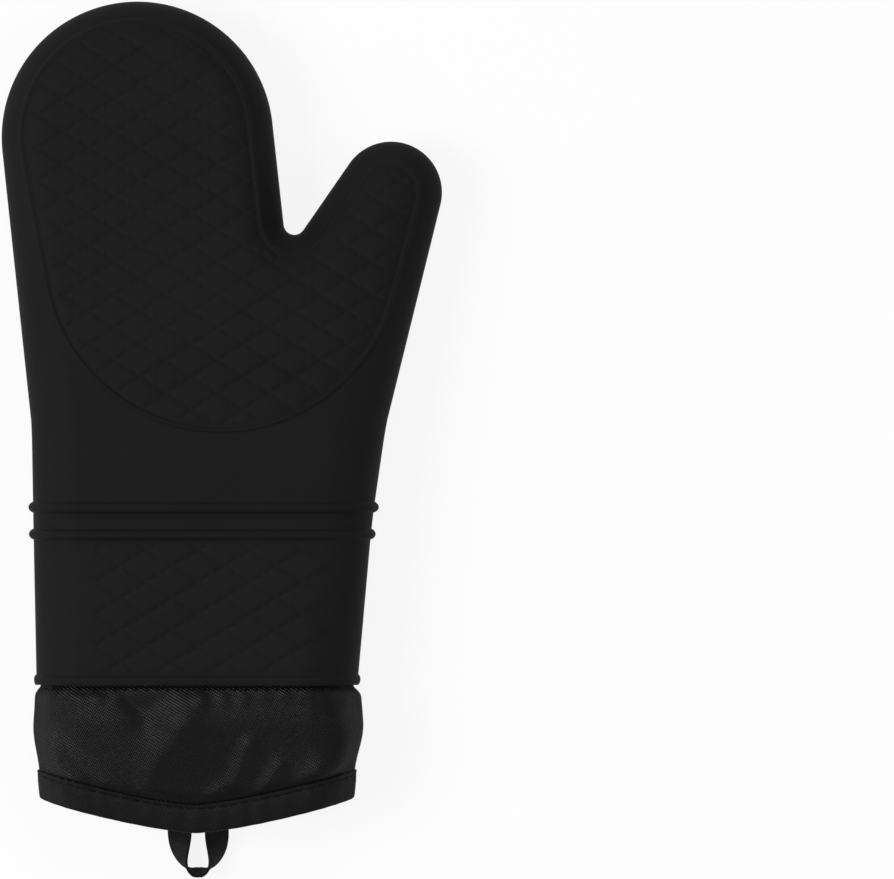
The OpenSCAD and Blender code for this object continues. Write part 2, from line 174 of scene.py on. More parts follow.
def line_distance(points: Array, line: Array) -> Array:
    """How far points lie from a line.

    Args:
        points: the points.
        line: the line's points, in order.

    Returns:
        The distance of each point.
    """
    start, along = line[:-1], np.diff(line, axis=0)
    length = np.maximum((along * along).sum(axis=1), 1e-12)
    found = []
    for first in range(0, len(points), MEASURED_AT_ONCE):
        part = points[first:first + MEASURED_AT_ONCE, None, :] - start[None]
        share = np.clip((part * along).sum(axis=2) / length, 0.0, 1.0)
        part = part - share[..., None] * along
        found.append(np.sqrt((part * part).sum(axis=2).min(axis=1)))
    return np.concatenate(found)


def clear_of(points: Array, line: Array, gap: float) -> Array:
    """The points that lie further than a gap from a line."""
    return points[line_distance(points, line) > gap]


def inside(points: Array, loop: Array) -> Array:
    """Which points lie inside a closed loop.

    Args:
        points: the points.
        loop: the loop's points, in order.

    Returns:
        True for each point inside.
    """
    found = np.zeros(len(points), bool)
    x, y = points.T
    for (ax, ay), (bx, by) in zip(loop, np.roll(loop, -1, axis=0)):
        if ay != by:
            found ^= ((ay > y) != (by > y)) & (x < (bx - ax) * (y - ay) / (by - ay) + ax)
    return found


def grid_points(low: Point, high: Point, step: float) -> Array:
    """The points of a square grid over an area."""
    columns, rows = (np.arange(start, stop, step) for start, stop in zip(low, high))
    return np.stack(np.meshgrid(columns, rows), axis=-1).reshape(-1, 2)


# The mitt's form


@dataclass(frozen=True)
class MittForm:
    """The mitt's sizes in millimetres and degrees, drawn from the middle of the silicone's lower edge."""

    sleeve_w: float = 136.0
    wrist_w: float = 143.6
    wrist_shift: float = 2.4
    wrist_y: float = 69.3
    palm_y: float = 112.0
    palm_t: float = 44.0
    side_r: float = 21.0
    finger_r: float = 57.6
    finger_mid: Point = (-25.4, 231.8)
    finger_lean: float = 6.3
    finger_t: float = 38.0
    thumb_r: float = 21.6
    thumb_mid: Point = (82.2, 208.5)
    thumb_in: float = 34.6
    thumb_out: float = 14.0
    thumb_t: float = 34.0
    thumb_turn: float = 52.0
    thumb_blend: Span = (-18.0, 18.0)
    web_r: float = 4.5
    web_mid: Point = (41.15, 194.95)
    web_low: Point = (40.05, 190.59)
    cuff_len: float = 47.5
    cuff_w: float = 139.0
    # The cuff is widest at this share of its length
    cuff_belly: float = 0.45
    hem_w: float = 133.6
    hem_dip: float = 14.0
    hem_power: float = 1.4
    # The cloth's raw edges end this far above the hem, and its outline is drawn from below it
    hem_clear: float = 0.2
    cloth_low: float = -66.0
    mouth_t: float = 42.0
    # The mouth's thickness is taken this far below the hem
    mouth_run: float = 4.0
    rib_half: float = 2.3
    rib_rise: float = 2.0
    rib_step: float = 5.7
    edge_rib_w: float = 4.1
    edge_rib_rise: float = 1.1
    # The seam below the silicone, and the sharper crease of the cloth in it
    seam_row_y: float = -1.8
    seam_dip: float = 0.75
    seam_reach: float = 2.2
    groove_dip: float = 0.5
    groove_reach: float = 0.7
    pad_inset: float = 9.2
    pad_mid: Point = (10.6, 181.8)
    pad_r: float = 74.4
    border_rounds: int = 12
    crown: float = 0.35
    crown_in: Span = (14.0, 48.0)
    crown_up: Span = (10.0, 70.0)
    # Where each layer is split, with both ends of the cuts past the outline
    split_y: float = 86.0
    wrist_split: Span = (-80.0, 92.0)
    thumb_split: Span = (-2.0, 84.0)
    split_step: float = 1.5
    # How the side edges are smoothed at their bends, and how far they run on past their ends
    silicone_blend: float = 9.0
    cloth_blend: float = 5.0
    blend_samples: int = 9
    edge_run: float = 50.0
    # Points along the edges, closer together on the ribs
    line_step: float = 1.3
    row_step: float = 1.6
    row_gap: float = 0.9
    rib_marks: tuple[float, ...] = (0.0, 0.7, 1.3, 1.8, 2.15, 2.3, 3.0)
    edge_rib_marks: tuple[float, ...] = (-1.0, -0.93, -0.8, -0.5, 0.0, 0.5, 0.8, 0.93, 1.0, 1.35)

    @property
    def ribs(self) -> Span:
        """Heights of the two wrist ribs."""
        return self.wrist_y - self.rib_step, self.wrist_y + self.rib_step

    def edge(self, y: Array, side: int) -> Array:
        """The sleeve's and the cuff's edge, seen from above.

        Args:
            y: heights on the drawing.
            side: -1 for the left edge and 1 for the right.

        Returns:
            The edge's x at each height.
        """
        low, wrist = side * self.sleeve_w / 2, self.wrist_shift + side * self.wrist_w / 2
        (mid_x, mid_y), radius, lean = (self.finger_mid, self.finger_r, self.finger_lean)
        if side > 0:
            (mid_x, mid_y), radius, lean = (self.thumb_mid, self.thumb_r, self.thumb_out)
        lean, run = math.radians(lean), self.edge_run
        tops = (self.palm_y, self.palm_y + run)
        upper = [mid_x + side * ((top - mid_y) * math.tan(lean) + radius / math.cos(lean)) for top in tops]
        silicone = ((-run, 0.0, self.wrist_y, *tops),
                    (low - run * (wrist - low) / self.wrist_y, low, wrist, *upper))
        cloth = ((-self.cuff_len, -self.cuff_len * self.cuff_belly, 0.0),
                 (side * self.hem_w / 2, side * self.cuff_w / 2, low))
        y = np.asarray(y, float)
        found = np.zeros_like(y)
        for share in np.linspace(-1.0, 1.0, self.blend_samples):
            found += np.where(y >= 0.0, np.interp(y + self.silicone_blend * share, *silicone),
                              np.interp(y + self.cloth_blend * share, *cloth))
        return found / self.blend_samples

    def rows(self, low: float) -> Array:
        """Heights at which the sleeve's edges have points, closer together on the ribs.

        Args:
            low: the lowest height.

        Returns:
            The heights, from low to the palm.
        """
        marks = np.array(self.rib_marks)
        close = [centre + way * marks for centre in self.ribs for way in (-1, 1)]
        if low == 0.0:
            close.append(self.edge_rib_w / 2 * (1 + np.array(self.edge_rib_marks)))
        close = np.concatenate(close)
        plain = np.arange(low, self.palm_y, self.row_step)
        plain = plain[np.abs(plain[:, None] - close).min(axis=1) > self.row_gap]
        return np.unique(np.round(np.concatenate((close, plain, [low, self.palm_y])), 4))

    def outline(self, low: float) -> Array:
        """The mitt's edge seen from above, from the lower left over the fingers and the thumb.

        Args:
            low: the height at which it starts and ends.

        Returns:
            Its points, in order.
        """
        rows = self.rows(low)
        left = np.column_stack((self.edge(rows, -1), rows))
        right = np.column_stack((self.edge(rows, 1), rows))[::-1]
        upper = np.vstack((
            left[-1:],
            arc(self.finger_mid, self.finger_r, 180 + self.finger_lean, self.finger_lean),
            arc(self.web_mid, self.web_r, 180 + self.finger_lean, 360 - self.thumb_in),
            arc(self.thumb_mid, self.thumb_r, 180 - self.thumb_in, -self.thumb_out),
            right[:1]))
        return np.vstack((left[:-1], resample(upper, self.line_step), right[1:]))

    def tangent_angle(self, mid: Point, radius: float, side: int) -> float:
        """The angle at which a line touches the pad's lower end and another round end of it."""
        x, y = np.subtract(mid, self.pad_mid)
        return math.degrees(math.atan2(y, x) + side * math.acos((self.pad_r - radius) / math.hypot(x, y)))

    def pad_border(self) -> Array:
        """The line of the raised border round the quilted pad.

        Returns:
            Its points, in order, clockwise, without the first one at the end.
        """
        finger_r, thumb_r = self.finger_r - self.pad_inset, self.thumb_r - self.pad_inset
        finger_leave = self.tangent_angle(self.finger_mid, finger_r, 1)
        thumb_leave = self.tangent_angle(self.thumb_mid, thumb_r, -1)
        line = np.vstack((
            arc(self.finger_mid, finger_r, finger_leave, self.finger_lean),
            arc(self.web_mid, self.web_r + self.pad_inset, 180 + self.finger_lean, 360 - self.thumb_in),
            arc(self.thumb_mid, thumb_r, 180 - self.thumb_in, thumb_leave),
            arc(self.pad_mid, self.pad_r, 360 + thumb_leave, finger_leave)))
        line = resample(closed(line), self.line_step)[:-1]
        for _ in range(self.border_rounds):
            line = (np.roll(line, 1, axis=0) + 2.0 * line + np.roll(line, -1, axis=0)) / 4.0
        return line

    def past_web(self, plan: Array, turn: float) -> Array:
        """How far points lie from the web's low end in a direction, in degrees clockwise from the right."""
        x, y = (plan - self.web_low).T
        return x * math.cos(math.radians(turn)) - y * math.sin(math.radians(turn))

    def thumb_side(self, plan: Array) -> Array:
        """How far points lie on the thumb's side of the line that halves the web."""
        return self.past_web(plan, (self.thumb_in - self.finger_lean) / 2)

    def region(self, plan: Array) -> Array:
        """The stretch of the mitt that points belong to, as an index into the members of Region."""
        thumb = (self.past_web(plan, self.thumb_turn - 90.0) > 0.0) & (self.thumb_side(plan) > 0.0)
        return np.where(plan[:, 1] < self.split_y, 0, np.where(thumb, 2, 1))

    def splits(self) -> list[Array]:
        """The lines, seen from above, at which a layer's regions meet.

        Returns:
            The wrist's line and the thumb's, each a row of points that runs past the outline.
        """
        turn = math.radians(self.thumb_turn)
        along = np.array([math.cos(turn), -math.sin(turn)])
        wrist = np.array([[x, self.split_y] for x in self.wrist_split])
        thumb = np.array([self.web_low + along * run for run in self.thumb_split])
        return [resample(line, self.split_step) for line in (wrist, thumb)]

    def hem(self, x: Array) -> Array:
        """Height of the cuff's lower edge at places across the mitt."""
        share = np.minimum(1.0, np.abs(x) * 2.0 / self.hem_w) ** self.hem_power
        return -self.cuff_len - self.hem_dip + self.hem_dip * share

    def raw_edge(self, x: Array) -> Array:
        """Points along the cloth's raw lower edge, at places across the mitt."""
        return np.column_stack((x, self.hem(x) + self.hem_clear))

    def sleeve_half(self, y: Array) -> Array:
        """Half of the thickness of the sleeve and the cuff."""
        mouth_y = -self.cuff_len - self.hem_dip - self.mouth_run
        return np.interp(y, (mouth_y, 0.0), (self.mouth_t / 2, self.palm_t / 2))

    def half(self, plan: Array) -> Array:
        """Half of the mitt's thickness.

        Args:
            plan: points seen from above.

        Returns:
            The height of the mitt's middle over each point.
        """
        y = plan[:, 1]
        finger = np.interp(y, (self.palm_y, self.finger_mid[1]), (self.palm_t / 2, self.finger_t / 2))
        thumb = np.interp(y, (self.palm_y, self.thumb_mid[1]), (self.palm_t / 2, self.thumb_t / 2))
        share = fade(self.thumb_side(plan), self.thumb_blend)
        return np.where(y < self.palm_y, self.sleeve_half(y), finger + (thumb - finger) * share)

    def lift(self, plan: Array, gap: Array, depth: float, face: Face, flush: float = 0.0) -> Array:
        """Height of a layer's surface.

        Args:
            plan: points seen from above.
            gap: how far each lies inside the mitt's outline.
            depth: how deep the layer lies below the outside.
            face: the face of the mitt.
            flush: how far the back's face stays above that depth, to leave room for raised patterns.

        Returns:
            The height of each point.
        """
        half = self.half(plan)
        rise = 1.0 - np.clip((gap - depth) / (self.side_r - depth), 0.0, 1.0)
        share = np.sqrt(np.maximum(0.0, 1.0 - rise * rise))
        if face is Face.PALM:
            swell = self.crown * fade(gap, self.crown_in) * fade(plan[:, 1], self.crown_up)
            return half + (half - depth) * share + swell
        return half - (half - depth - flush) * share

    def dip(self, y: Array) -> Array:
        """How deep the seam below the silicone pulls the layers in, at heights on the drawing."""
        return self.seam_dip * np.exp(-(y / self.seam_reach) ** 2)

    def groove(self, y: Array) -> Array:
        """How much deeper the cloth's own crease is, right at the silicone's edge."""
        return self.groove_dip * np.exp(-(y / self.groove_reach) ** 2)

    def cuff_point(self, turn: float, rise: float | None, depth: float) -> Array:
        """A point on the cuff, which is followed round from the upper left.

        Args:
            turn: from 0 to 4, a quarter each for the top, the right side, the bottom and the left side.
            rise: the height above the hem, or None for the row of stitches below the silicone.
            depth: how deep the point lies below the outside.

        Returns:
            The point on the drawing.
        """
        quarter, share = int(turn) % 4, turn - int(turn)
        reach = self.hem_w / 2 - self.side_r
        angle = math.radians((90.0, 90.0 - 180.0 * share, -90.0, 270.0 - 180.0 * share)[quarter])
        wide = (self.side_r - depth) * math.cos(angle)
        x = (-reach + 2 * reach * share, reach + wide, reach - 2 * reach * share, -reach + wide)[quarter]
        y = self.seam_row_y if rise is None else float(self.hem(np.array(x))) + rise
        if quarter % 2:
            side = 2 - quarter
            x += float(self.edge(y, side)) - side * self.hem_w / 2
        half = float(self.sleeve_half(y))
        return np.array([x, y, half + (half - depth) * math.sin(angle)])


FORM = MittForm()


# Mesh tools


def inner_ring(side: Array, depth: float, slack: float, every: int = 1) -> Array:
    """A line at a depth inside the outline, without the points that a tight bend brings too near to it."""
    return clear_of(shifted(side, depth)[::every], side, depth - slack)


def fill_plan(loop: Array, points: Array, lines: Sequence[Array] = (),
              gap: float = 0.0) -> tuple[Array, Array]:
    """Fills a closed loop with triangles through given points.

    Args:
        loop: the loop's points, in order.
        points: the points inside it.
        lines: lines that triangles don't cross.
        gap: how near to those lines points are left out.

    Returns:
        The corners, and the three corners of each triangle.
    """
    edges = [(i, (i + 1) % len(loop)) for i in range(len(loop))]
    start = len(loop)
    for line in lines:
        points = clear_of(points, line, gap)
        edges += [(start + i, start + i + 1) for i in range(len(line) - 1)]
        start += len(line)
    corners = [Vector(p) for p in np.vstack((loop, *lines, points))]
    filled = geometry.delaunay_2d_cdt(corners, edges, [], 0, 1e-5, False)
    plan = np.array([tuple(v) for v in filled[0]])
    triangles = np.array(filled[2])
    return plan, triangles[inside(plan[triangles].mean(axis=1), loop)]


def sheet_mesh(plan: Array, triangles: Array, height: Array) -> BMesh:
    """Makes one lifted sheet from a filled plan.

    Args:
        plan: the corners seen from above.
        triangles: the three corners of each triangle.
        height: the height of each corner.

    Returns:
        The sheet, with the number of each corner in its "plan" layer.
    """
    mesh = bpy.data.meshes.new("plan")
    mesh.from_pydata(np.column_stack((plan, height)).tolist(), [], triangles.tolist())
    sheet = bmesh.new()
    sheet.from_mesh(mesh)
    bpy.data.meshes.remove(mesh)
    number = sheet.verts.layers.int.new("plan")
    for i, vert in enumerate(sheet.verts):
        vert[number] = i
    bmesh.ops.delete(sheet, geom=[v for v in sheet.verts if not v.link_faces], context="VERTS")
    return sheet


def pocket_mesh(plan: Array, triangles: Array, gap: Array, depth: float, flush: float = 0.0) -> BMesh:
    """Makes a layer of two sheets that meet along the mitt's outline.

    Args:
        plan: the corners seen from above.
        triangles: the three corners of each triangle.
        gap: how far each corner lies inside the mitt's outline.
        depth: how deep the layer lies below the outside.
        flush: how far the back's face stays above that depth.

    Returns:
        The pocket, with its faces outwards.
    """
    pocket = sheet_mesh(plan, triangles, FORM.lift(plan, gap, depth, Face.PALM))
    back = FORM.lift(plan, gap, depth, Face.BACK, flush)
    number = pocket.verts.layers.int["plan"]
    copied = bmesh.ops.duplicate(pocket, geom=[*pocket.verts, *pocket.edges, *pocket.faces])["geom"]
    for part in copied:
        if isinstance(part, bmesh.types.BMVert):
            part.co.z = back[part[number]]
    bmesh.ops.reverse_faces(pocket, faces=[f for f in copied if isinstance(f, bmesh.types.BMFace)])
    bmesh.ops.remove_doubles(pocket, verts=pocket.verts, dist=ONE_CORNER)
    return pocket


def raise_relief(body: BMesh, relief: Array, floor: float = 0.0) -> None:
    """Moves the corners of a mesh out along its normals.

    Args:
        body: the mesh, with the numbers of its corners in its "plan" layer.
        relief: how far each corner moves.
        floor: the lowest height that a corner may have.
    """
    body.normal_update()
    number = body.verts.layers.int["plan"]
    moved = [(v, v.co + v.normal * relief[v[number]]) for v in body.verts]
    for vert, place in moved:
        vert.co = place
        vert.co.z = max(vert.co.z, floor)


def tape_grid(columns: int, rows: int) -> tuple[BMesh, list[tuple[int, int]]]:
    """Makes the flat grid of a tape.

    Args:
        columns, rows: how many faces it has along and across.

    Returns:
        The grid, and the column and row of each corner.
    """
    body = bmesh.new()
    bmesh.ops.create_grid(body, x_segments=columns, y_segments=rows, size=0.5)
    return body, [(round((v.co.x + 0.5) * columns), round((v.co.y + 0.5) * rows)) for v in body.verts]


def lay_grain(body: BMesh, places: Sequence[Point]) -> None:
    """Writes a cloth's UV map, in metres along and across its threads.

    Args:
        body: the cloth.
        places: where each corner lies on the flat cloth, in millimetres.
    """
    grain = body.loops.layers.uv.new("cloth")
    body.verts.index_update()
    for face in body.faces:
        for corner in face.loops:
            along, across = places[corner.vert.index]
            corner[grain].uv = (along * MM, across * MM)


def piece_from(name: str, body: BMesh, material: Material, wall: float = 0.0, offset: float = -1.0) -> Piece:
    """Makes a piece of a mesh that is drawn in millimetres.

    Args:
        name: the piece's name.
        body: its mesh, which is freed.
        material: its finish.
        wall: the thickness that a sheet is given, in millimetres.
        offset: -1 for a wall that grows inwards, 0 for one to both sides.

    Returns:
        The piece, at the origin, with its place in its mesh.
    """
    place = Matrix.Diagonal((MM, MM, MM, 1.0)) @ Matrix.Translation(-Vector(DRAWING_ORIGIN))
    bmesh.ops.transform(body, matrix=place, verts=body.verts)
    for face in body.faces:
        face.smooth = True
    for edge in body.edges:
        edge.smooth = not edge.is_boundary
    mesh = bpy.data.meshes.new(name)
    body.to_mesh(mesh)
    body.free()
    mesh.materials.append(material)
    piece = bpy.data.objects.new(name, mesh)
    bpy.context.scene.collection.objects.link(piece)
    if wall:
        solid = piece.modifiers.new("wall", "SOLIDIFY")
        solid.thickness, solid.offset = wall * MM, offset
    return piece


def split_regions(layer: str, kind: str, whole: BMesh, material: Material, wall: float) -> Regions:
    """Splits a layer at the wrist and at the thumb's root.

    Args:
        layer: the layer's name in the frame.
        kind: the last word of the pieces' names.
        whole: the layer's mesh, which is freed.
        material: its finish.
        wall: its thickness in millimetres.

    Returns:
        The pieces by region.
    """
    regions = FORM.region(np.array([f.calc_center_median()[:2] for f in whole.faces]))
    pieces = {}
    for i, region in enumerate(Region):
        part = whole.copy()
        part.faces.ensure_lookup_table()
        bmesh.ops.delete(part, geom=[part.faces[k] for k in np.nonzero(regions != i)[0]], context="FACES")
        pieces[region] = piece_from(f"{layer}_{region.value}_{kind}", part, material, wall)
    whole.free()
    return pieces


# Finishes


def linear(colour: str) -> tuple[float, ...]:
    """Turns six hex digits of an sRGB colour to the linear values and full alpha that a shader takes."""
    parts = [int(colour[i:i + 2], 16) / 255.0 for i in (0, 2, 4)]
    return (*[p / 12.92 if p <= 0.04045 else ((p + 0.055) / 1.055) ** 2.4 for p in parts], 1.0)


class Nodes:
    """Adds nodes to one node tree, with lengths in millimetres."""

    def __init__(self, tree: bpy.types.NodeTree) -> None:
        """Empties the tree."""
        self.tree = tree
        tree.nodes.clear()

    def add(self, kind: str, output: str, inputs: dict | None = None, **settings: str) -> Socket | None:
        """Adds one node.

        Args:
            kind: the node's type, without the words that all the types start with.
            output: the name of the output that is wanted, empty for none.
            inputs: for each socket's name or number, a value or the socket that is linked to it.
            settings: the node's properties.

        Returns:
            The wanted output.
        """
        node = self.tree.nodes.new("ShaderNode" + kind)
        for name, value in settings.items():
            setattr(node, name, value)
        for socket, value in (inputs or {}).items():
            if isinstance(value, Socket):
                self.tree.links.new(value, node.inputs[socket])
            else:
                node.inputs[socket].default_value = value
        return node.outputs[output] if output else None

    def place(self) -> Socket:
        """The place on the piece, in metres."""
        return self.add("TexCoord", "Object")

    def noise(self, place: Socket, size: float, **inputs: float) -> Socket:
        """A cloudy pattern with lumps of a size."""
        return self.add("TexNoise", "Fac", {"Vector": place, "Scale": 1.0 / (size * MM), **inputs})

    def wave(self, place: Socket, size: float, direction: str, **inputs: float) -> Socket:
        """A pattern of bands of a width."""
        inputs.update(Vector=place, Scale=WAVE_BAND / (size * MM))
        return self.add("TexWave", "Fac", inputs, bands_direction=direction)

    def combine(self, operation: str, *values: Socket | float) -> Socket:
        """Works out one value from others."""
        return self.add("Math", "Value", dict(enumerate(values)), operation=operation)

    def remap(self, value: Socket, span: Span, result: Span = (0.0, 1.0)) -> Socket:
        """Maps a span of a pattern to another one."""
        names = ("From Min", "From Max", "To Min", "To Max")
        return self.add("MapRange", "Result", {"Value": value, **dict(zip(names, (*span, *result)))})

    def bump(self, height: Socket, strength: float, rise: float) -> Socket:
        """The normal of a surface with a small relief."""
        return self.add("Bump", "Normal", {"Height": height, "Strength": strength, "Distance": rise * MM})

    def ramp(self, factor: Socket, dark: str, light: str, span: Span = (0.0, 1.0)) -> Socket:
        """Blends two colours by a pattern.

        Args:
            factor: the pattern, from 0 to 1.
            dark, light: the colours at the two ends, as sRGB hex.
            span: where on the pattern the two ends are.

        Returns:
            The colour.
        """
        colour = self.add("ValToRGB", "Color", {"Fac": factor})
        for stop, end, place in zip(colour.node.color_ramp.elements, (dark, light), span):
            stop.color, stop.position = linear(end), place
        return colour


@dataclass(frozen=True)
class Finish:
    """A real material, drawn with two shades of its colour."""

    name: str
    dark: str
    light: str

    def surface(self, nodes: Nodes) -> Inputs:
        """Draws the finish with a material's nodes and returns the shader's inputs."""
        raise NotImplementedError(self.name)

    def make(self) -> Material:
        """Builds the material.

        Returns:
            The material.
        """
        material = bpy.data.materials.new(self.name)
        material.use_nodes = True
        nodes = Nodes(material.node_tree)
        shader = nodes.add("BsdfPrincipled", "BSDF", self.surface(nodes))
        nodes.add("OutputMaterial", "", {"Surface": shader})
        return material


@dataclass(frozen=True)
class MouldedSilicone(Finish):
    """Black food-grade silicone from a finely blasted mould: matt, with a soft broad shine on its ribs."""

    name: str = "moulded_silicone"
    dark: str = "181818"
    light: str = "1b1b1b"
    roughness: Span = (0.65, 0.76)
    # The mould's blasted grit is about 0.1 mm; it is drawn coarser, so that it shows
    grit_mm: float = 0.9
    # Handling leaves a cloudy bloom on dark silicone
    cloud_mm: float = 38.0

    def surface(self, nodes: Nodes) -> Inputs:
        """Draws a grit and a faint bloom.

        Args:
            nodes: the material's nodes.

        Returns:
            The shader's inputs.
        """
        place = nodes.place()
        grit = nodes.noise(place, self.grit_mm, Detail=3.0, Roughness=0.6)
        cloud = nodes.noise(place, self.cloud_mm, Detail=4.0)
        return {"Base Color": nodes.ramp(cloud, self.dark, self.light, (0.35, 0.7)),
                "Roughness": nodes.remap(cloud, (0.3, 0.7), self.roughness),
                "Normal": nodes.bump(grit, 0.25, 0.06), "IOR": 1.41, "Specular IOR Level": 0.08}


@dataclass(frozen=True)
class TwillCloth(Finish):
    """Black polyester-cotton twill: slanted ribs of yarn with a low sheen where it turns to the light."""

    name: str = "twill_cloth"
    dark: str = "040405"
    light: str = "0e0e0f"
    # Wales of 0.6 mm are drawn coarser, so that they show
    wale_mm: float = 1.1
    yarn_mm: float = 0.8
    slub_mm: float = 3.0
    lean: float = -30.0
    rise_mm: float = 0.2
    # Handling rubs the turned edges dull
    roughness: float = 0.31
    worn_roughness: float = 0.85
    gloss: float = 0.15

    def surface(self, nodes: Nodes) -> Inputs:
        """Draws slanted wales, crossed by yarns and varied by slubs.

        Args:
            nodes: the material's nodes.

        Returns:
            The shader's inputs, which follow the cloth's own UV map in metres.
        """
        place = nodes.add("Mapping", "Vector", {
            "Vector": nodes.add("UVMap", "UV", uv_map="cloth"),
            "Rotation": (0.0, 0.0, math.radians(self.lean))}, vector_type="TEXTURE")
        wale = nodes.wave(place, self.wale_mm, "Y", Distortion=0.8, Detail=2.0, **{"Detail Scale": 1.5})
        yarn = nodes.wave(place, self.yarn_mm, "X", Distortion=1.2, Detail=1.0)
        slub = nodes.noise(place, self.slub_mm, Detail=3.0)
        weave = nodes.combine("MULTIPLY_ADD", yarn, 0.45, wale)
        shade = nodes.remap(nodes.combine("MULTIPLY_ADD", slub, 0.9, weave), (0.45, 1.7))
        normal = nodes.add("TexCoord", "Normal")
        upright = nodes.combine("ABSOLUTE", nodes.add("SeparateXYZ", "Z", {"Vector": normal}))
        return {"Base Color": nodes.ramp(shade, self.dark, self.light),
                "Roughness": nodes.remap(upright, (0.3, 0.8), (self.worn_roughness, self.roughness)),
                "Normal": nodes.bump(weave, 0.7, self.rise_mm), "Specular IOR Level": self.gloss,
                "Sheen Weight": 0.02, "Sheen Roughness": 0.45}


WOVEN_TAPE = TwillCloth("woven_tape", "0b0b0b", "171717", wale_mm=0.9, yarn_mm=0.6, lean=34.0, rise_mm=0.16,
                        roughness=0.4, gloss=0.09)


@dataclass(frozen=True)
class QuiltedCotton(Finish):
    """Charcoal cotton lining, plain weave: dull and slightly fuzzy, darker between its yarns."""

    name: str = "quilted_cotton"
    dark: str = "242527"
    light: str = "3b3c3f"
    yarn_mm: float = 0.8

    def surface(self, nodes: Nodes) -> Inputs:
        """Draws weft and warp, and gives the shader's inputs."""
        weave = nodes.combine("MULTIPLY", *(
            nodes.wave(nodes.place(), self.yarn_mm, way, Distortion=1.0, Detail=2.0) for way in ("Y", "X")))
        return {"Base Color": nodes.ramp(weave, self.dark, self.light, (0.0, 0.7)),
                "Normal": nodes.bump(weave, 0.6, 0.15), "Roughness": 0.85, "Specular IOR Level": 0.2,
                "Sheen Weight": 0.3, "Sheen Roughness": 0.5}


@dataclass(frozen=True)
class NeedledFelt(Finish):
    """Grey needled polyester felt: a matt tangle of fine fibres."""

    name: str = "needled_felt"
    dark: str = "77756f"
    light: str = "a8a69e"
    fibre_mm: float = 1.6

    def surface(self, nodes: Nodes) -> Inputs:
        """Draws tangled fibres, and gives the shader's inputs."""
        tangle = nodes.noise(nodes.place(), self.fibre_mm, Detail=6.0, Roughness=0.7, Distortion=1.5)
        return {"Base Color": nodes.ramp(tangle, self.dark, self.light, (0.3, 0.7)),
                "Normal": nodes.bump(tangle, 0.8, 0.4), "Roughness": 0.95, "Specular IOR Level": 0.1}


@dataclass(frozen=True)
class SewingThread(Finish):
    """Black spun polyester thread: twisted plies with a faint shine."""

    name: str = "sewing_thread"
    dark: str = "040404"
    light: str = "0e0e0f"
    ply_mm: float = 0.5

    def surface(self, nodes: Nodes) -> Inputs:
        """Draws slanted plies, and gives the shader's inputs."""
        ply = nodes.wave(nodes.place(), self.ply_mm, "DIAGONAL", Distortion=0.5)
        return {"Base Color": nodes.ramp(ply, self.dark, self.light),
                "Normal": nodes.bump(ply, 0.5, 0.1), "Roughness": 0.7, "Specular IOR Level": 0.1}


# Layers of the mitt


@dataclass(frozen=True)
class Quilting:
    """A pattern of diamond pillows, in millimetres."""

    wide: float
    tall: float
    centre: Point
    # The share of a pillow's height that is reached at its shoulder; the rest is its crown
    shoulder: float = 0.86
    # How far from a valley the lines of points run
    marks: tuple[float, ...] = (0.0, 0.6, 1.2, 2.3, 4.1)

    @property
    def spacing(self) -> float:
        """Distance between two neighbouring valleys."""
        return self.wide * self.tall / math.hypot(self.wide, self.tall)

    def cells(self, plan: Array) -> tuple[Array, Array]:
        """Where points lie on the pattern's two slanted axes, with diamonds centred on whole numbers."""
        x, y = ((plan - self.centre) / (self.wide, self.tall)).T
        return x + y, x - y

    def places(self, a: Array, b: Array) -> Array:
        """The points at given places on the two slanted axes."""
        return np.array(self.centre) + np.column_stack((self.wide * (a + b) / 2, self.tall * (a - b) / 2))

    def centres(self, plan: Array) -> Array:
        """The middle of the diamond that each point lies in."""
        return self.places(*(np.round(place) for place in self.cells(plan)))

    def pillow(self, plan: Array, valley: float) -> Array:
        """Height of the pillows.

        Args:
            plan: points seen from above.
            valley: the distance from a valley's middle at which a pillow's shoulder is.

        Returns:
            The height, from 0 in the valleys to 1.
        """
        found = np.ones(len(plan))
        for place in self.cells(plan):
            gap = (0.5 - np.abs(place - np.round(place))) * self.spacing
            crown = (1.0 - self.shoulder) * fade(gap, (0.0, self.spacing / 2))
            found *= self.shoulder * fade(gap, (0.0, valley)) + crown
        return found

    def points(self, low: Point, high: Point) -> Array:
        """Points on lines along the valleys, closer together near them.

        Args:
            low, high: the corners of the area.

        Returns:
            The points in that area.
        """
        steps = np.array(self.marks) / self.spacing
        marks = np.unique(np.round(np.concatenate((0.5 + steps, 0.5 - steps)) % 1.0, 6))
        reach = math.ceil((high[0] - low[0]) / self.wide + (high[1] - low[1]) / self.tall) + 2
        line = (np.arange(-reach, reach)[:, None] + marks).ravel()
        found = self.places(*(grid.ravel() for grid in np.meshgrid(line, line)))
        return found[((found > low) & (found < high)).all(axis=1)]


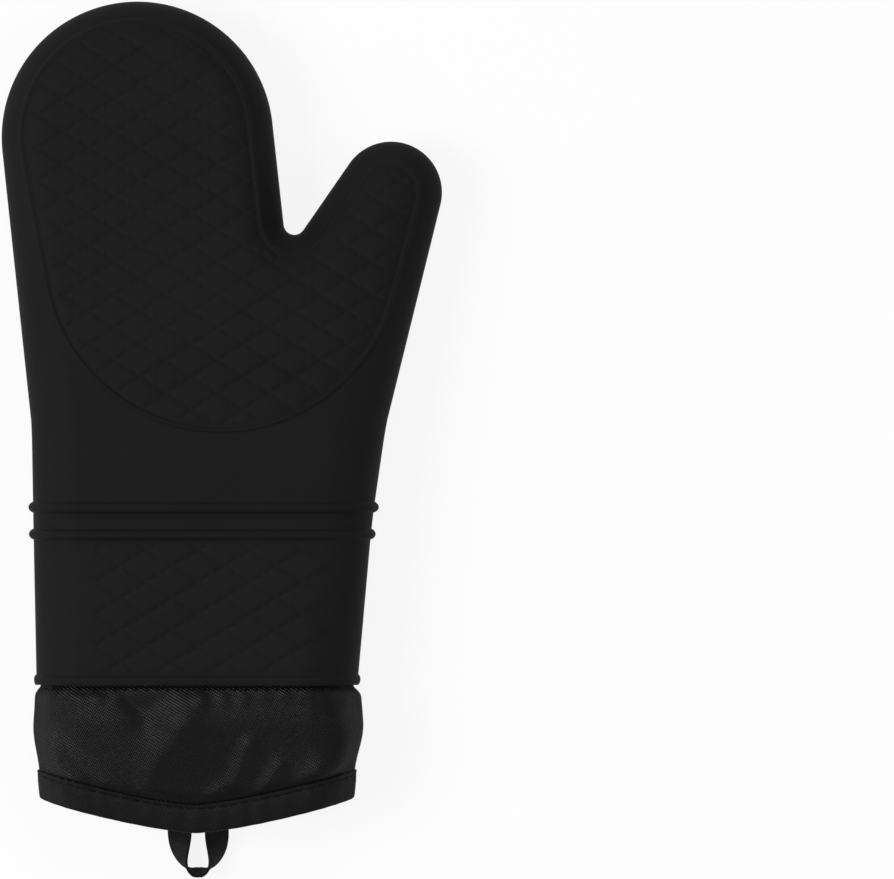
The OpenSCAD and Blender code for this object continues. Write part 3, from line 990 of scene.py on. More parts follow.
@dataclass
class SiliconeSkin:
    """The moulded skin: a quilted pad with a border, two wrist ribs, a quilted sleeve and an edge rib."""

    wall: float = 1.0
    pad: Quilting = Quilting(21.7, 13.8, (31.8, 157.6))
    pad_area: tuple[Point, Point] = ((-90.0, 100.0), (110.0, 300.0))
    # Where the pad's pillows fade in behind its border
    pad_fade: Span = (1.7, 3.4)
    sleeve: Quilting = Quilting(21.9, 13.5, (-41.8, 50.5))
    sleeve_columns: Span = (-46.0, 50.0)
    sleeve_rows: Span = (5.2, 60.4)
    sleeve_sides: Span = (-60.0, 62.0)
    pillow_rise: float = 0.8
    valley: float = 1.5
    bead_rise: float = 0.9
    bead_half: float = 1.35
    bead_power: float = 1.5
    bead_marks: tuple[float, ...] = (-2.1, -1.35, -1.0, -0.5, 0.0, 0.5, 1.0, 1.35, 2.1)
    rib_power: float = 0.75
    # The edge rib falls off sharply towards the cloth
    edge_rib_powers: Span = (0.3, 0.6)
    flush: float = 0.9
    # Rings of points inside the outline, and how far in the other points start
    rim: tuple[float, ...] = (0.2, 0.8, 1.8, 3.2, 4.9)
    rim_slack: float = 0.04
    rim_w: float = 6.4
    rim_gap: float = 6.3
    # Rows closer together than this belong to a rib, and go right across
    close_row: float = 1.5
    row_points: int = 84
    grid_area: tuple[Point, Point] = ((-80.0, 4.0), (105.0, 215.0))
    grid_step: float = 2.6
    # The plain grid's gaps to ribs, border and pillows, and the other points' to border, edge and splits
    rib_gap: float = 3.9
    border_gap: float = 3.2
    pillow_gap: float = 1.6
    pad_gap: float = 2.6
    lower_gap: float = 0.05
    split_gap: float = 0.3

    def on_sleeve_panel(self, plan: Array) -> Array:
        """Which points lie in a diamond of the sleeve's panel."""
        middle = self.sleeve.centres(plan)[:, 0]
        return (middle > self.sleeve_columns[0]) & (middle < self.sleeve_columns[1])

    @staticmethod
    def hump(place: Array) -> Array:
        """A round hump, 1 high at 0 and ended at -1 and 1."""
        return np.maximum(0.0, 1.0 - place ** 2)

    def relief(self, plan: Array, border: Array) -> Array:
        """How far the moulded pattern stands out.

        Args:
            plan: points seen from above.
            border: how far each lies inside the pad's border, below 0 outside.

        Returns:
            The height of the pattern at each point.
        """
        y = plan[:, 1]
        low, high = self.sleeve_rows
        found = self.bead_rise * self.hump(border / self.bead_half) ** self.bead_power
        found += self.pillow_rise * self.pad.pillow(plan, self.valley) * fade(border, self.pad_fade)
        panel = fade(y, (low, low + self.valley)) * fade(y, (high, high - self.valley))
        panel = panel * self.on_sleeve_panel(plan)
        found += self.pillow_rise * self.sleeve.pillow(plan, self.valley) * panel
        for centre in FORM.ribs:
            found += FORM.rib_rise * self.hump((y - centre) / FORM.rib_half) ** self.rib_power
        half = FORM.edge_rib_w / 2
        power = np.where(y < half, *self.edge_rib_powers)
        return found + FORM.edge_rib_rise * self.hump((y - half) / half) ** power

    def plan(self, border: Array) -> tuple[Array, Array]:
        """Draws the skin seen from above, with points along its ribs, border and quilting.

        Args:
            border: the line of the pad's border.

        Returns:
            The corners, and the three corners of each triangle.
        """
        side, rows = FORM.outline(0.0), FORM.rows(0.0)
        loop = np.vstack((side, resample(side[[-1, 0]], FORM.row_step)[1:-1]))
        rings = [inner_ring(side, depth, self.rim_slack) for depth in self.rim]
        beads = [shifted(border, mark, ring=True) for mark in self.bead_marks]
        close = rows[np.diff(rows, prepend=rows[0] - FORM.row_step) < self.close_row]
        ends = zip(close, FORM.edge(close, -1) + self.rim_w, FORM.edge(close, 1) - self.rim_w)
        ribbed = [resample(np.array([[a, y], [b, y]]), (b - a) / (self.row_points - 1)) for y, a, b in ends]
        pad = self.pad.points(*self.pad_area)
        pad = clear_of(pad[inside(pad, border)], closed(border), self.pad_gap)
        sleeve = self.sleeve.points(*zip(self.sleeve_sides, self.sleeve_rows))
        sleeve = sleeve[self.on_sleeve_panel(sleeve)]
        plain = grid_points(*self.grid_area, self.grid_step)
        for y in FORM.ribs:
            plain = plain[np.abs(plain[:, 1] - y) > self.rib_gap]
        plain = plain[inside(plain, loop) & ~inside(plain, border) & (plain[:, 1] > self.rim_w)]
        plain = clear_of(clear_of(plain, side, self.rim_gap), closed(border), self.border_gap)
        # Every third point of the sleeve's pattern is enough to keep the plain points off it
        near = np.abs(plain[:, None] - sleeve[None, ::3]).max(axis=2).min(axis=1)
        points = np.vstack((*rings, *beads, *ribbed, pad, sleeve, plain[near > self.pillow_gap]))
        points = points[inside(points, loop) & (points[:, 1] > self.lower_gap)]
        return fill_plan(loop, points, FORM.splits(), self.split_gap)

    def build(self, material: Material) -> Regions:
        """Makes the skin's three pieces.

        Args:
            material: the silicone.

        Returns:
            The pieces by region.
        """
        border = FORM.pad_border()
        plan, triangles = self.plan(border)
        gap = line_distance(plan, FORM.outline(0.0))
        gap = np.where(gap > ON_LINE, gap, 0.0)
        within = line_distance(plan, closed(border)) * np.where(inside(plan, border), 1.0, -1.0)
        whole = pocket_mesh(plan, triangles, gap, 0.0, self.flush)
        raise_relief(whole, self.relief(plan, within))
        return split_regions("silicone", "skin", whole, material, self.wall)


@dataclass
class InnerLayer:
    """A soft layer inside the skin, which follows it from the fingertips to the hem."""

    name: str
    kind: str
    depth: float
    wall: float
    step: float
    quilting: Quilting | None = None
    quilt_rise: float = 0.0
    valley: float = 3.5
    # Rings of points inside the layer's edge, and the slack that they and the edge have in tight bends
    rim: tuple[float, ...] = (0.5, 1.8, 4.0)
    rim_slack: float = 0.05
    grid_area: tuple[Point, Point] = ((-85.0, -62.0), (105.0, 290.0))
    # Gaps between the points, the rim and the hem as shares of a step, and to the splits in millimetres
    rim_share: float = 0.6
    hem_share: float = 0.4
    split_gap: float = 0.5

    def build(self, material: Material) -> Regions:
        """Makes the layer's three pieces.

        Args:
            material: the layer's cloth.

        Returns:
            The pieces by region.
        """
        side = FORM.outline(FORM.cloth_low)
        ring = clear_of(resample(shifted(side, self.depth), self.step), side, self.depth - self.rim_slack)
        ring = ring[ring[:, 1] >= FORM.raw_edge(ring[:, 0])[:, 1]]
        right, left = ring[-1, 0], ring[0, 0]
        lower = FORM.raw_edge(np.linspace(right, left, round((right - left) / self.step) + 1))
        loop = np.vstack((ring, lower))
        rings = [inner_ring(side, self.depth + inset, self.rim_slack, 2) for inset in self.rim]
        grid = grid_points(*self.grid_area, self.step)
        inset = self.depth + self.rim[-1] + self.step * self.rim_share
        grid = clear_of(grid[inside(grid, loop)], side, inset)
        points = np.vstack((*rings, grid))
        points = clear_of(points[inside(points, loop)], lower, self.step * self.hem_share)
        plan, triangles = fill_plan(loop, points, FORM.splits(), self.split_gap)
        gap = line_distance(plan, side)
        edge = line_distance(plan, ring) < ON_LINE
        gap = np.where(edge | (gap < self.depth), self.depth, gap)
        whole = pocket_mesh(plan, triangles, gap, self.depth)
        if self.quilting:
            raise_relief(whole, self.quilt_rise * (1.0 - self.quilting.pillow(plan, self.valley)))
        else:
            raise_relief(whole, -FORM.dip(plan[:, 1]))
        return split_regions(self.name, self.kind, whole, material, self.wall)


# The sewn cuff


@dataclass(frozen=True)
class Fold:
    """A soft ridge in the cuff's cloth, or a hollow where its rise is below 0, in millimetres."""

    path: tuple[Point, ...]
    width: float
    rise: float

    def lift(self, plan: Array) -> Array:
        """Height of the fold at points seen from above."""
        gap = line_distance(plan, np.array(self.path))
        return self.rise * np.exp(-(gap / self.width) ** 2)


@dataclass(frozen=True)
class Reach:
    """Where a form of the cloth fades in: down from the silicone, up from the hem and in from the sides."""

    below: Span
    above: Span
    inward: Span

    def share(self, below: Array, above: Array, gap: Array) -> Array:
        """How much of the form there is at points with these distances."""
        return fade(below, self.below) * fade(above, self.above) * fade(gap, self.inward)


@dataclass
class TwillCuff:
    """Two twill panels, sewn together at the sides, that come out from under the silicone."""

    depth: float = 1.05
    wall: float = 0.85
    tuck: float = 6.0
    # How far the cloth hangs out at the left and right, and where
    slack: Span = (1.3, 2.4)
    slack_reach: Reach = Reach((0.0, 5.0), (11.0, 32.0), (16.0, 1.0))
    # The cloth's even swell, and the broad bulge on it
    puff: float = 1.0
    bulge: Fold = Fold(((-12.0, -6.0), (-18.0, -48.0)), 27.0, 2.4)
    puff_below: Span = (2.0, 18.0)
    puff_in: Span = (1.0, 12.0)
    # It rolls up from the binding first steeply, for this share of its height, and then gently
    roll: float = 0.6
    roll_steep: Span = (11.65, 12.3)
    roll_gentle: Span = (12.3, 15.5)
    pucker: float = 0.16
    pucker_pitch: float = 8.8
    pucker_start: Span = (1.6, 3.5)
    pucker_end: Span = (12.0, 3.0)
    # Below this the cloth would lie in the felt, or in the table
    lowest_relief: float = -0.1
    floor: float = 0.06
    fold_reach: Reach = Reach((1.8, 6.0), (11.6, 14.5), (1.0, 9.0))
    folds: tuple[Fold, ...] = (
        Fold(((1.0, -2.0), (-8.0, -22.0), (-18.5, -36.0), (-20.5, -50.0)), 6.0, 1.0),
        Fold(((-24.0, -1.0), (-20.5, -15.0)), 7.0, -2.0),
        Fold(((-54.0, -27.0), (-46.0, -37.0), (-37.0, -47.0)), 5.0, -1.1),
        Fold(((22.8, -25.0), (16.6, -40.5)), 3.2, 1.5),
        Fold(((1.5, -51.0), (10.5, -43.5)), 2.6, 1.0),
        Fold(((35.5, -34.0), (27.6, -45.5)), 2.8, 1.3),
        Fold(((-46.0, -6.0), (-44.0, -22.0), (-38.0, -34.0)), 17.0, 1.3),
        Fold(((75.0, -12.0), (62.5, -27.0), (50.0, -41.5)), 6.0, 2.6),
        Fold(((66.5, -3.0), (57.5, -12.0)), 3.4, 0.9),
        Fold(((2.4, -2.6), (2.9, -7.0)), 1.8, 0.4),
        Fold(((11.4, -2.6), (11.9, -7.0)), 1.8, 0.4),
        Fold(((20.4, -2.6), (20.9, -6.5)), 1.6, 0.3),
    )
    # Points: rings along the sides, a grid, and rows of their own in the creases at the two seams
    step: float = 1.7
    row_step: float = 1.5
    hem_points: int = 88
    rim: tuple[float, ...] = (0.25, 0.9, 2.0, 3.6, 5.4)
    grid_area: tuple[Point, Point] = ((-70.0, -62.0), (70.0, 6.0))
    grid_gap: float = 6.4
    crease_gap: float = 5.8
    crease_span: Span = (-64.0, 64.1)
    crease_step: float = 1.1
    hem_creases: tuple[float, ...] = (11.0, 11.55, 11.8, 12.05, 12.3, 12.9, 13.9)
    hem_zone: Span = (10.3, 15.1)
    seam_creases: tuple[float, ...] = (0.4, 0.0, -0.4, -0.8, -1.6, -2.3, -3.2, -4.3)
    seam_zone: Span = (-5.0, 0.9)
    loop_gap: float = 0.2

    def plan(self, side: Array) -> tuple[Array, Array]:
        """Draws a panel seen from above, with points along its creases.

        Args:
            side: the outline.

        Returns:
            The corners, and the three corners of each triangle.
        """
        rows = np.arange(-FORM.cuff_len + FORM.hem_clear, self.tuck + ON_LINE, self.row_step)
        left, right = (np.column_stack((FORM.edge(rows, s) - s * self.depth, rows)) for s in (-1, 1))
        upper = resample(np.vstack((left[-1:], right[-1:])), self.step)[1:-1]
        lower = FORM.raw_edge(np.linspace(right[0, 0], left[0, 0], self.hem_points)[1:-1])
        loop = np.vstack((left, upper, right[::-1], lower))
        rings = [np.column_stack((FORM.edge(rows, s) - s * (self.depth + inset), rows))
                 for s in (-1, 1) for inset in self.rim]
        grid = clear_of(grid_points(*self.grid_area, self.step), side, self.depth + self.grid_gap)
        above = grid[:, 1] - FORM.hem(grid[:, 0])
        zones = ((above, self.hem_zone), (grid[:, 1], self.seam_zone))
        grid = grid[np.all([(place < low) | (place > high) for place, (low, high) in zones], axis=0)]
        x = np.arange(*self.crease_span, self.crease_step)
        creases = [np.column_stack((x, FORM.hem(x) + rise)) for rise in self.hem_creases]
        creases += [np.column_stack((x, np.full_like(x, y))) for y in self.seam_creases]
        creases = clear_of(np.vstack(creases), side, self.depth + self.crease_gap)
        points = np.vstack((*rings, grid, creases))
        return fill_plan(loop, clear_of(points[inside(points, loop)], closed(loop), self.loop_gap))

    def relief(self, plan: Array, gap: Array, face: Face) -> Array:
        """How far the cloth's folds, swell and creases stand out.

        Args:
            plan: points seen from above.
            gap: how far each lies inside the outline.
            face: the face of the mitt, on whose back the folds are mirrored.

        Returns:
            The height at each point.
        """
        below, above = -plan[:, 1], plan[:, 1] - FORM.hem(plan[:, 0])
        seen = plan * (face.value, 1.0)
        folded = sum(fold.lift(seen) for fold in self.folds) * self.fold_reach.share(below, above, gap)
        roll = self.roll * fade(above, self.roll_steep) + (1.0 - self.roll) * fade(above, self.roll_gentle)
        puff = fade(below, self.puff_below) * roll * fade(gap, self.puff_in)
        puff = puff * (self.puff + self.bulge.lift(seen))
        pucker = self.pucker * np.sin(plan[:, 0] * 2.0 * np.pi / self.pucker_pitch)
        pucker = pucker * fade(below, self.pucker_start) * fade(below, self.pucker_end)
        found = np.maximum(folded + puff + pucker, self.lowest_relief)
        return found - FORM.dip(plan[:, 1]) - FORM.groove(plan[:, 1])

    def flat_places(self, body: BMesh, gap: Array) -> list[Point]:
        """Where the corners of a panel lie on the flat cloth, which wraps round the cuff's sides.

        Args:
            body: the panel, before its relief.
            gap: how far each corner of its plan lies inside the outline.

        Returns:
            The places in millimetres.
        """
        number = body.verts.layers.int["plan"]
        wide = FORM.side_r - self.depth
        quarter = math.pi / 2 * (wide + FORM.palm_t / 2) / 2
        places = []
        for vert in body.verts:
            x, y, _ = vert.co
            inner = min(1.0, max(0.0, (gap[vert[number]] - self.depth) / wide))
            turn = 1.0 - math.acos(1.0 - inner) / (math.pi / 2)
            places.append((x + math.copysign(turn * quarter - (1.0 - inner) * wide, x), y))
        return places

    def panel(self, name: str, face: Face, material: Material) -> Piece:
        """Makes one panel.

        Args:
            name: its name.
            face: the face of the mitt that it covers.
            material: the twill.

        Returns:
            The panel.
        """
        side = FORM.outline(FORM.cloth_low)
        plan, triangles = self.plan(side)
        x, y = plan.T
        gap = line_distance(plan, side)
        seams = [np.abs(x - FORM.edge(y, s) + s * self.depth) < ON_LINE for s in (-1, 1)]
        gap = np.where(seams[0] | seams[1] | (gap < self.depth), self.depth, gap)
        hang = self.slack_reach.share(-y, y - FORM.hem(x), gap)
        hang = hang * np.where(x > 0.0, self.slack[1], -self.slack[0])
        body = sheet_mesh(np.column_stack((x + hang, y)), triangles, FORM.lift(plan, gap, self.depth, face))
        if face is Face.BACK:
            bmesh.ops.reverse_faces(body, faces=body.faces)
        lay_grain(body, self.flat_places(body, gap))
        raise_relief(body, self.relief(plan, gap, face), self.floor)
        return piece_from(name, body, material, self.wall)

    def build(self, material: Material) -> list[Piece]:
        """Makes the palm's panel and the back's from the twill."""
        return [self.panel(f"cuff_{face.name.lower()}_twill", face, material) for face in Face]


@dataclass
class HemBinding:
    """A twill tape folded over the cuff's lower edge and sewn through."""

    around: int = 300
    wall: float = 0.55
    ripple: float = 0.1
    # The ripples' turn in radians per quarter, how far and how often it wanders, and the tape edge's share
    ripple_turn: float = 60.0
    wander: float = 0.7
    wander_turn: float = 9.0
    edge_share: float = 0.35
    # The fold's outer face lies above this depth, and only it ripples in and out
    outer_depth: float = 1.0
    floor: float = 0.02
    # The fold's outside, as height above the hem and depth below the mitt's outside
    fold: tuple[Point, ...] = (
        (11.5, 0.6), (11.3, 0.36), (10.8, 0.28), (10.0, 0.34), (9.6, 0.52), (9.1, 0.3), (7.0, 0.12),
        (4.0, 0.1), (2.0, 0.14), (0.6, 0.2), (-0.2, 0.36), (-0.55, 0.8), (-0.65, 1.7), (-0.65, 3.8),
        (-0.6, 5.2), (-0.25, 6.3), (0.6, 6.95), (2.5, 7.15), (6.0, 7.2), (8.4, 7.1), (8.8, 6.95),
        (9.3, 7.1), (10.0, 7.0))

    def build(self, material: Material) -> Piece:
        """Makes the binding.

        Args:
            material: the tape.

        Returns:
            The binding.
        """
        body, steps = tape_grid(self.around, len(self.fold) - 1)
        across = run_length(np.array(self.fold))
        length = 2.0 * (FORM.hem_w - 2 * FORM.side_r) + math.pi * (FORM.side_r + FORM.mouth_t / 2)
        lay_grain(body, [(i / self.around * length, across[k]) for i, k in steps])
        for vert, (i, k) in zip(body.verts, steps):
            rise, depth = self.fold[k]
            turn = 4.0 * (i % self.around) / self.around
            wander = self.wander * math.sin(turn * self.wander_turn)
            ripple = self.ripple * math.sin(turn * self.ripple_turn + wander)
            depth += ripple * (depth < self.outer_depth)
            vert.co = Vector(FORM.cuff_point(turn, rise + self.edge_share * ripple, depth))
            vert.co.z = max(vert.co.z, self.floor)
        bmesh.ops.remove_doubles(body, verts=body.verts, dist=ONE_CORNER)
        bmesh.ops.recalc_face_normals(body, faces=body.faces)
        top = max(body.faces, key=lambda face: face.calc_center_median().z)
        if top.normal.z < 0.0:
            bmesh.ops.reverse_faces(body, faces=body.faces)
        return piece_from("hem_binding_tape", body, material, self.wall)


@dataclass
class HangingLoop:
    """A folded tape, sewn inside the back of the hem, that turns past its edge where it bends."""

    tape_w: float = 10.2
    tape_t: float = 1.1
    tape_crown: float = 0.12
    edge_r: float = 0.25
    loop_w: float = 15.8
    root_y: float = -63.0
    root_z: float = 7.75
    tail_top: float = -53.0
    end_y: float = -82.8
    bend_y: float = -66.0
    low_z: float = 5.2
    # The shares of the way to the bend's middle at which the tape is lowest and fully twisted
    low_share: float = 0.6
    twist_share: float = 0.93
    twist: float = 107.0
    # The power of the bend's curve: 2 would be an ellipse
    square: float = 2.45
    across: int = 6
    turns: int = 56
    tail_n: int = 22

    @staticmethod
    def tape_run(line: Sequence[Vector]) -> Array:
        """The length of tape from a line's start to each of its points."""
        return np.concatenate(([0.0], np.cumsum([(b - a).length for a, b in zip(line, line[1:])])))

    def path(self) -> list[tuple[Vector, float, float]]:
        """The tape's middle line.

        Returns:
            For each step, a point, the direction seen from above and the twist, both in radians.
        """
        twist, half = math.radians(self.twist), self.loop_w / 2
        low_y = self.end_y + self.tape_w / 2 * abs(math.cos(twist)) + self.tape_t / 2 * math.sin(twist)
        tail = np.linspace(self.tail_top, self.bend_y, self.tail_n, endpoint=False)
        angles = np.linspace(math.pi, 2.0 * math.pi, self.turns + 1)
        across, down = np.cos(angles), np.maximum(0.0, -np.sin(angles))
        bend_x = half * np.copysign(np.abs(across) ** (2.0 / self.square), across)
        bend_y = self.bend_y + (low_y - self.bend_y) * down ** (2.0 / self.square)
        xs = np.concatenate((np.full_like(tail, -half), bend_x, np.full_like(tail, half)))
        line = [Vector((x, y, 0.0)) for x, y in zip(xs, np.concatenate((tail, bend_y, tail[::-1])))]
        run, free = self.tape_run(line), self.tail_top - self.root_y
        steps = []
        for i, place in enumerate(line):
            along = line[min(i + 1, len(line) - 1)] - line[max(i - 1, 0)]
            share = max(0.0, (min(run[i], run[-1] - run[i]) - free) / (run[-1] / 2 - free))
            place.z = self.root_z + (self.low_z - self.root_z) * min(1.0, share / self.low_share)
            steps.append((place, math.atan2(along.y, along.x), twist * min(1.0, share / self.twist_share)))
        return steps

    def build(self, material: Material) -> tuple[Piece, float]:
        """Makes the loop with its two sewn tails.

        Args:
            material: the tape.

        Returns:
            The loop, and the length of its tape in metres.
        """
        path = self.path()
        run = self.tape_run([place for place, _, _ in path])
        body, steps = tape_grid(len(path) - 1, self.across)
        sides = [2.0 * k / self.across - 1.0 for _, k in steps]
        lay_grain(body, [(run[i], side * self.tape_w / 2) for (i, _), side in zip(steps, sides)])
        for vert, (i, _), side in zip(body.verts, steps, sides):
            place, a, t = path[i]
            across = Vector((-math.sin(a) * math.cos(t), math.cos(a) * math.cos(t), math.sin(t)))
            up = Vector((math.sin(a) * math.sin(t), -math.cos(a) * math.sin(t), math.cos(t)))
            vert.co = place + across * side * self.tape_w / 2 + up * self.tape_crown * (1.0 - side * side)
        piece = piece_from("hanging_loop_tape", body, material, self.tape_t, 0.0)
        edge = piece.modifiers.new("worn_edge", "BEVEL")
        edge.width, edge.segments, edge.limit_method = self.edge_r * MM, 2, "ANGLE"
        return piece, run[-1] * MM


@dataclass
class Stitching:
    """Rows of lockstitch on the cuff and the tacks that hold the loop, in millimetres."""

    thread: float = 0.6
    length: float = 2.8
    pitch: float = 4.4
    seam_depth: float = 1.3
    binding_rise: float = 9.6
    binding_depth: float = 0.42
    tack_count: int = 9
    tack_start: float = 4.6
    tack_pitch: float = 0.42
    # A tack goes this share of the tape's width to either side, and its thread stands this far off it
    tack_share: float = 0.38
    tack_clear: float = 0.1
    loop: HangingLoop = field(default_factory=HangingLoop)

    def stitch(self, body: BMesh, start: Sequence[float], stop: Sequence[float]) -> None:
        """Adds one stitch to a mesh.

        Args:
            body: the mesh.
            start, stop: the stitch's two ends.
        """
        a, b = Vector(start), Vector(stop)
        turn = (b - a).to_track_quat("Z", "Y").to_matrix().to_4x4()
        size = Matrix.Diagonal((self.thread / 2, self.thread / 2, ((b - a).length + self.thread) / 2, 1.0))
        bmesh.ops.create_uvsphere(body, u_segments=6, v_segments=6, radius=1.0,
                                  matrix=Matrix.Translation((a + b) / 2) @ turn @ size)

    def row(self, name: str, rise: float | None, depth: float, material: Material) -> Piece:
        """Makes a row of stitches round the cuff.

        Args:
            name: the row's name.
            rise: its height above the hem, or None for the row below the silicone.
            depth: how deep it lies below the mitt's outside.
            material: the thread.

        Returns:
            The row.
        """
        body = bmesh.new()
        flat = math.floor((FORM.hem_w - 2 * FORM.side_r) / self.pitch)
        side = math.floor((FORM.palm_t + FORM.side_r) / self.pitch)
        part = self.length / self.pitch / 2
        for quarter, count in enumerate((flat, side, flat, side)):
            for i in range(count):
                ends = [quarter + (i + 0.5 + way * part) / count for way in (-1, 1)]
                self.stitch(body, *(FORM.cuff_point(turn, rise, depth) for turn in ends))
        return piece_from(name, body, material)

    def tacks(self, material: Material) -> Piece:
        """Makes the close, slanted stitches that hold the loop's two tails.

        Args:
            material: the thread.

        Returns:
            The tacks.
        """
        body = bmesh.new()
        z = self.loop.root_z + self.loop.tape_t / 2 + self.tack_clear
        reach = self.loop.tape_w * self.tack_share
        for x in (-self.loop.loop_w / 2, self.loop.loop_w / 2):
            for i in range(self.tack_count):
                y = self.loop.root_y + self.tack_start + i * self.tack_pitch
                self.stitch(body, (x - reach, y, z), (x + reach, y + self.tack_pitch, z))
        return piece_from("loop_tack_thread", body, material)

    def build(self, material: Material) -> tuple[Piece, Piece, Piece]:
        """Makes the cuff's row, the binding's row and the loop's tacks from the thread."""
        return (self.row("cuff_seam_thread", None, self.seam_depth, material),
                self.row("binding_thread", self.binding_rise, self.binding_depth, material),
                self.tacks(material))


# The studio


@dataclass
class Studio:
    """A white table under plain soft light, seen from straight above with a long lens.

    Lengths are in metres, and the sensor's width in millimetres.
    """

    distance: float = 3.0
    view_mid: Point = (0.0955, -0.0005)
    view_height: float = 0.022
    sensor: float = 36.0
    clip_end: float = 100.0
    table_half: float = 25.0
    # A hair below the mitt, whose flattened ribs would flicker on it
    table_z: float = -0.0003
    # The share of the table's look that is plain white, so that only a faint shadow is left
    table_glow: float = 0.88
    room_strength: float = 0.3
    lamp_size: float = 0.9
    # Each lamp's place and its power in watts
    lamps: tuple[tuple[tuple[float, float, float], float], ...] = (
        ((-1.3, -0.05, 1.5), 27.0), ((1.5, 0.1, 1.15), 6.0), ((0.1, 1.6, 1.2), 6.0), ((0.1, -1.6, 1.2), 2.0))

    def place(self, name: str, data: bpy.types.ID, location: Sequence[float]) -> Piece:
        """Sets a camera, lamp or mesh up in the scene.

        Args:
            name: its name.
            data: what it is.
            location: where it goes.

        Returns:
            The object.
        """
        item = bpy.data.objects.new(name, data)
        item.location = location
        bpy.context.scene.collection.objects.link(item)
        return item

    def camera(self) -> None:
        """Sets the camera over the photograph's frame."""
        lens = bpy.data.cameras.new("camera")
        lens.sensor_width, lens.clip_end = self.sensor, self.clip_end
        wide = PHOTO_WIDTH_PIXELS * PHOTO_MM_PER_PIXEL * MM
        lens.lens = self.sensor * (self.distance - self.view_height) / wide
        bpy.context.scene.camera = self.place("camera", lens, (*self.view_mid, self.distance))

    def floor(self) -> None:
        """Lays a white table that keeps the mitt's shadow."""
        body = bmesh.new()
        bmesh.ops.create_grid(body, x_segments=1, y_segments=1, size=self.table_half)
        mesh = bpy.data.meshes.new("table")
        body.to_mesh(mesh)
        body.free()
        material = bpy.data.materials.new("white_table")
        material.use_nodes = True
        nodes = Nodes(material.node_tree)
        camera, glossy, through = (nodes.add("LightPath", f"Is {ray} Ray") for ray in (
            "Camera", "Glossy", "Transmission"))
        seen = nodes.combine("MAXIMUM", nodes.combine("MAXIMUM", camera, glossy), through)
        nodes.add("OutputMaterial", "", {"Surface": nodes.add("MixShader", "Shader", {
            0: nodes.combine("MULTIPLY", seen, self.table_glow),
            1: nodes.add("BsdfDiffuse", "BSDF", {"Color": linear("f6f6f6")}),
            2: nodes.add("Emission", "Emission", {"Color": linear("ffffff"), "Strength": 1.0})})})
        mesh.materials.append(material)
        self.place("table", mesh, (0.0, 0.0, self.table_z))

    def light(self) -> None:
        """Sets the lamps and the even light of the room."""
        for i, (place, power) in enumerate(self.lamps):
            lamp = bpy.data.lights.new(f"lamp_{i}", "AREA")
            lamp.energy, lamp.size = power, self.lamp_size
            holder = self.place(f"lamp_{i}", lamp, place)
            holder.rotation_euler = (-Vector(place)).to_track_quat("-Z", "Y").to_euler()
        world = bpy.data.worlds.new("room")
        world.use_nodes = True
        nodes = Nodes(world.node_tree)
        room, backdrop = (
            nodes.add("Background", "Background", {"Color": linear("ffffff"), "Strength": level})
            for level in (self.room_strength, 1.0))
        nodes.add("OutputWorld", "", {"Surface": nodes.add("MixShader", "Shader", {
            0: nodes.add("LightPath", "Is Camera Ray"), 1: room, 2: backdrop})})
        bpy.context.scene.world = world
        bpy.context.scene.view_settings.view_transform = "Standard"

    def build(self) -> None:
        """Sets up the camera, the table and the light."""
        self.camera()
        self.floor()
        self.light()


# The whole mitt


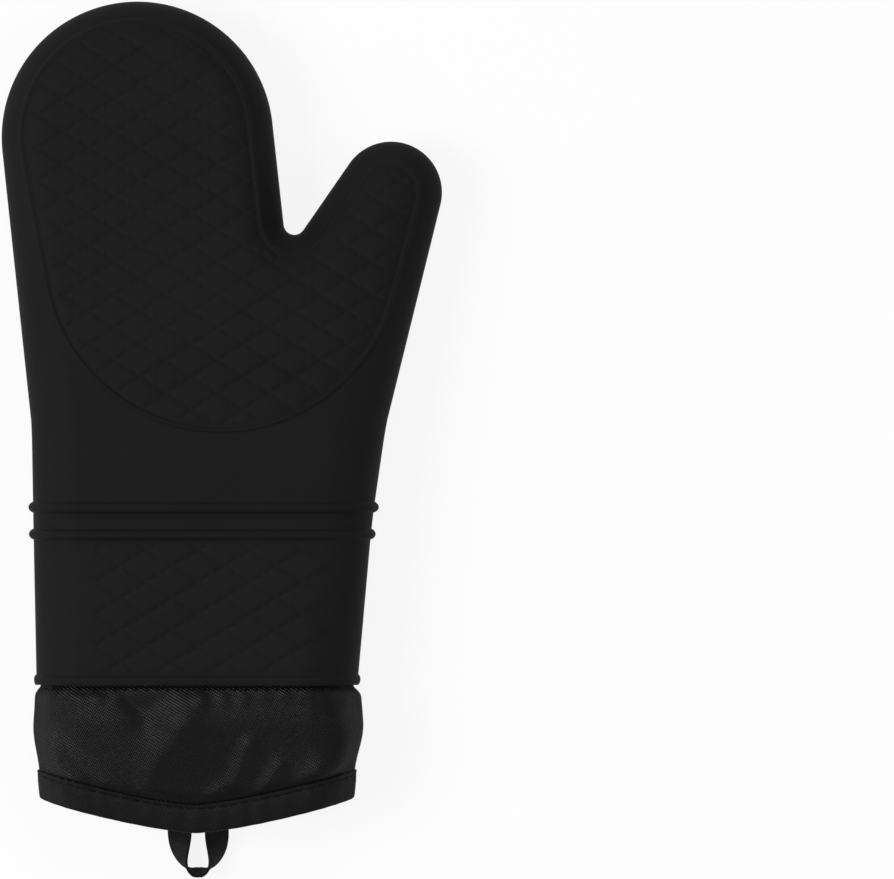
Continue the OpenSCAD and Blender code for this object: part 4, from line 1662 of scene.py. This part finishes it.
@dataclass
class Mitt:
    """The whole mitt, dressed on the frame's bodies."""

    skin: SiliconeSkin = field(default_factory=SiliconeSkin)
    batting: InnerLayer = field(default_factory=lambda: InnerLayer("batting", "felt", 2.1, 2.7, 3.6))
    lining: InnerLayer = field(default_factory=lambda: InnerLayer(
        "lining", "cotton", 5.65, 0.7, 2.6, Quilting(26.0, 26.0, (0.0, 0.0)), 0.5))
    cuff: TwillCuff = field(default_factory=TwillCuff)
    binding: HemBinding = field(default_factory=HemBinding)
    loop: HangingLoop = field(default_factory=HangingLoop)
    stitching: Stitching = field(default_factory=Stitching)
    # The stretches that bend, as heights on the drawing, and on the thumb as distances from the web
    wrist_bend: Span = (40.0, 84.0)
    finger_bend: Span = (192.0, 238.0)
    thumb_bend: Span = (1.0, 26.0)
    loop_bend: Span = (-61.8, -66.0)
    # The flat cloths in metres, with their areas where they aren't cut square
    lining_flats: tuple[tuple[Region, Span, float], ...] = (
        (Region.GAUNTLET, (0.31, 0.148), 0.042), (Region.HAND, (0.34, 0.2), 0.0525),
        (Region.THUMB, (0.115, 0.09), 0.0071))
    cuff_flat: Span = (0.164, 0.067)
    cuff_area: float = 0.0098
    binding_flat: Span = (0.0275, 0.315)
    felt_fill: float = 0.3

    def bend(self, layer: str, pieces: Regions) -> None:
        """Bakes a layer's three pieces in place, hides the frame's parts that they replace, and logs their
        faces.

        Args:
            layer: the layer's name in the frame.
            pieces: the pieces by region.
        """
        sleeve, hand, thumb = (pieces[region] for region in Region)
        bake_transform(sleeve)
        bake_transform(hand)
        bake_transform(thumb)
        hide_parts(f"{layer}_gauntlet")
        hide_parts(f"{layer}_palm", f"{layer}_fingers")
        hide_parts(f"{layer}_thumb")
        for piece in pieces.values():
            log.info("%s: %d faces", piece.name, len(piece.data.polygons))

    def dress_layers(self) -> None:
        """Builds the skin, the felt and the lining, bakes them in place and hides the frame's parts that
        they replace.
        """
        self.bend("silicone", self.skin.build(MouldedSilicone().make()))
        felts = self.batting.build(NeedledFelt().make())
        self.bend("batting", felts)
        cottons = self.lining.build(QuiltedCotton().make())
        self.bend("lining", cottons)

    def dress_cuff(self) -> None:
        """Builds the cuff, its binding, loop and thread, and ties all but the loop to the gauntlet's body.
        """
        tape = WOVEN_TAPE.make()
        palm, back = self.cuff.build(TwillCloth().make())
        binding = self.binding.build(tape)
        loop, tape_length = self.loop.build(tape)
        seam, hem, tacks = self.stitching.build(SewingThread().make())
        for piece, node, slot in ((palm, "cuff_palm_panel", "twill"), (back, "cuff_back_panel", "twill"),
                                  (binding, "hem_binding", "tape"), (seam, "cuff_seam_stitches", "thread"),
                                  (hem, "binding_stitches", "thread"), (tacks, "loop_bar_tacks", "thread")):
            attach(piece, "gauntlet")
            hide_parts(node)
            log.info("%s: %d faces", piece.name, len(piece.data.polygons))
        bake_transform(loop)
        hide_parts("loop_tails", "hanging_loop")
        log.info("%s: %.0f mm of tape", loop.name, tape_length / MM)


def main() -> None:
    """Loads the frame, sets the studio and dresses the mitt."""
    logging.basicConfig(level=logging.INFO, format="%(name)s %(message)s")
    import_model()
    Studio().build()
    mitt = Mitt()
    mitt.dress_layers()
    mitt.dress_cuff()
    bpy.context.view_layer.update()


if __name__ == "__main__":
    main()
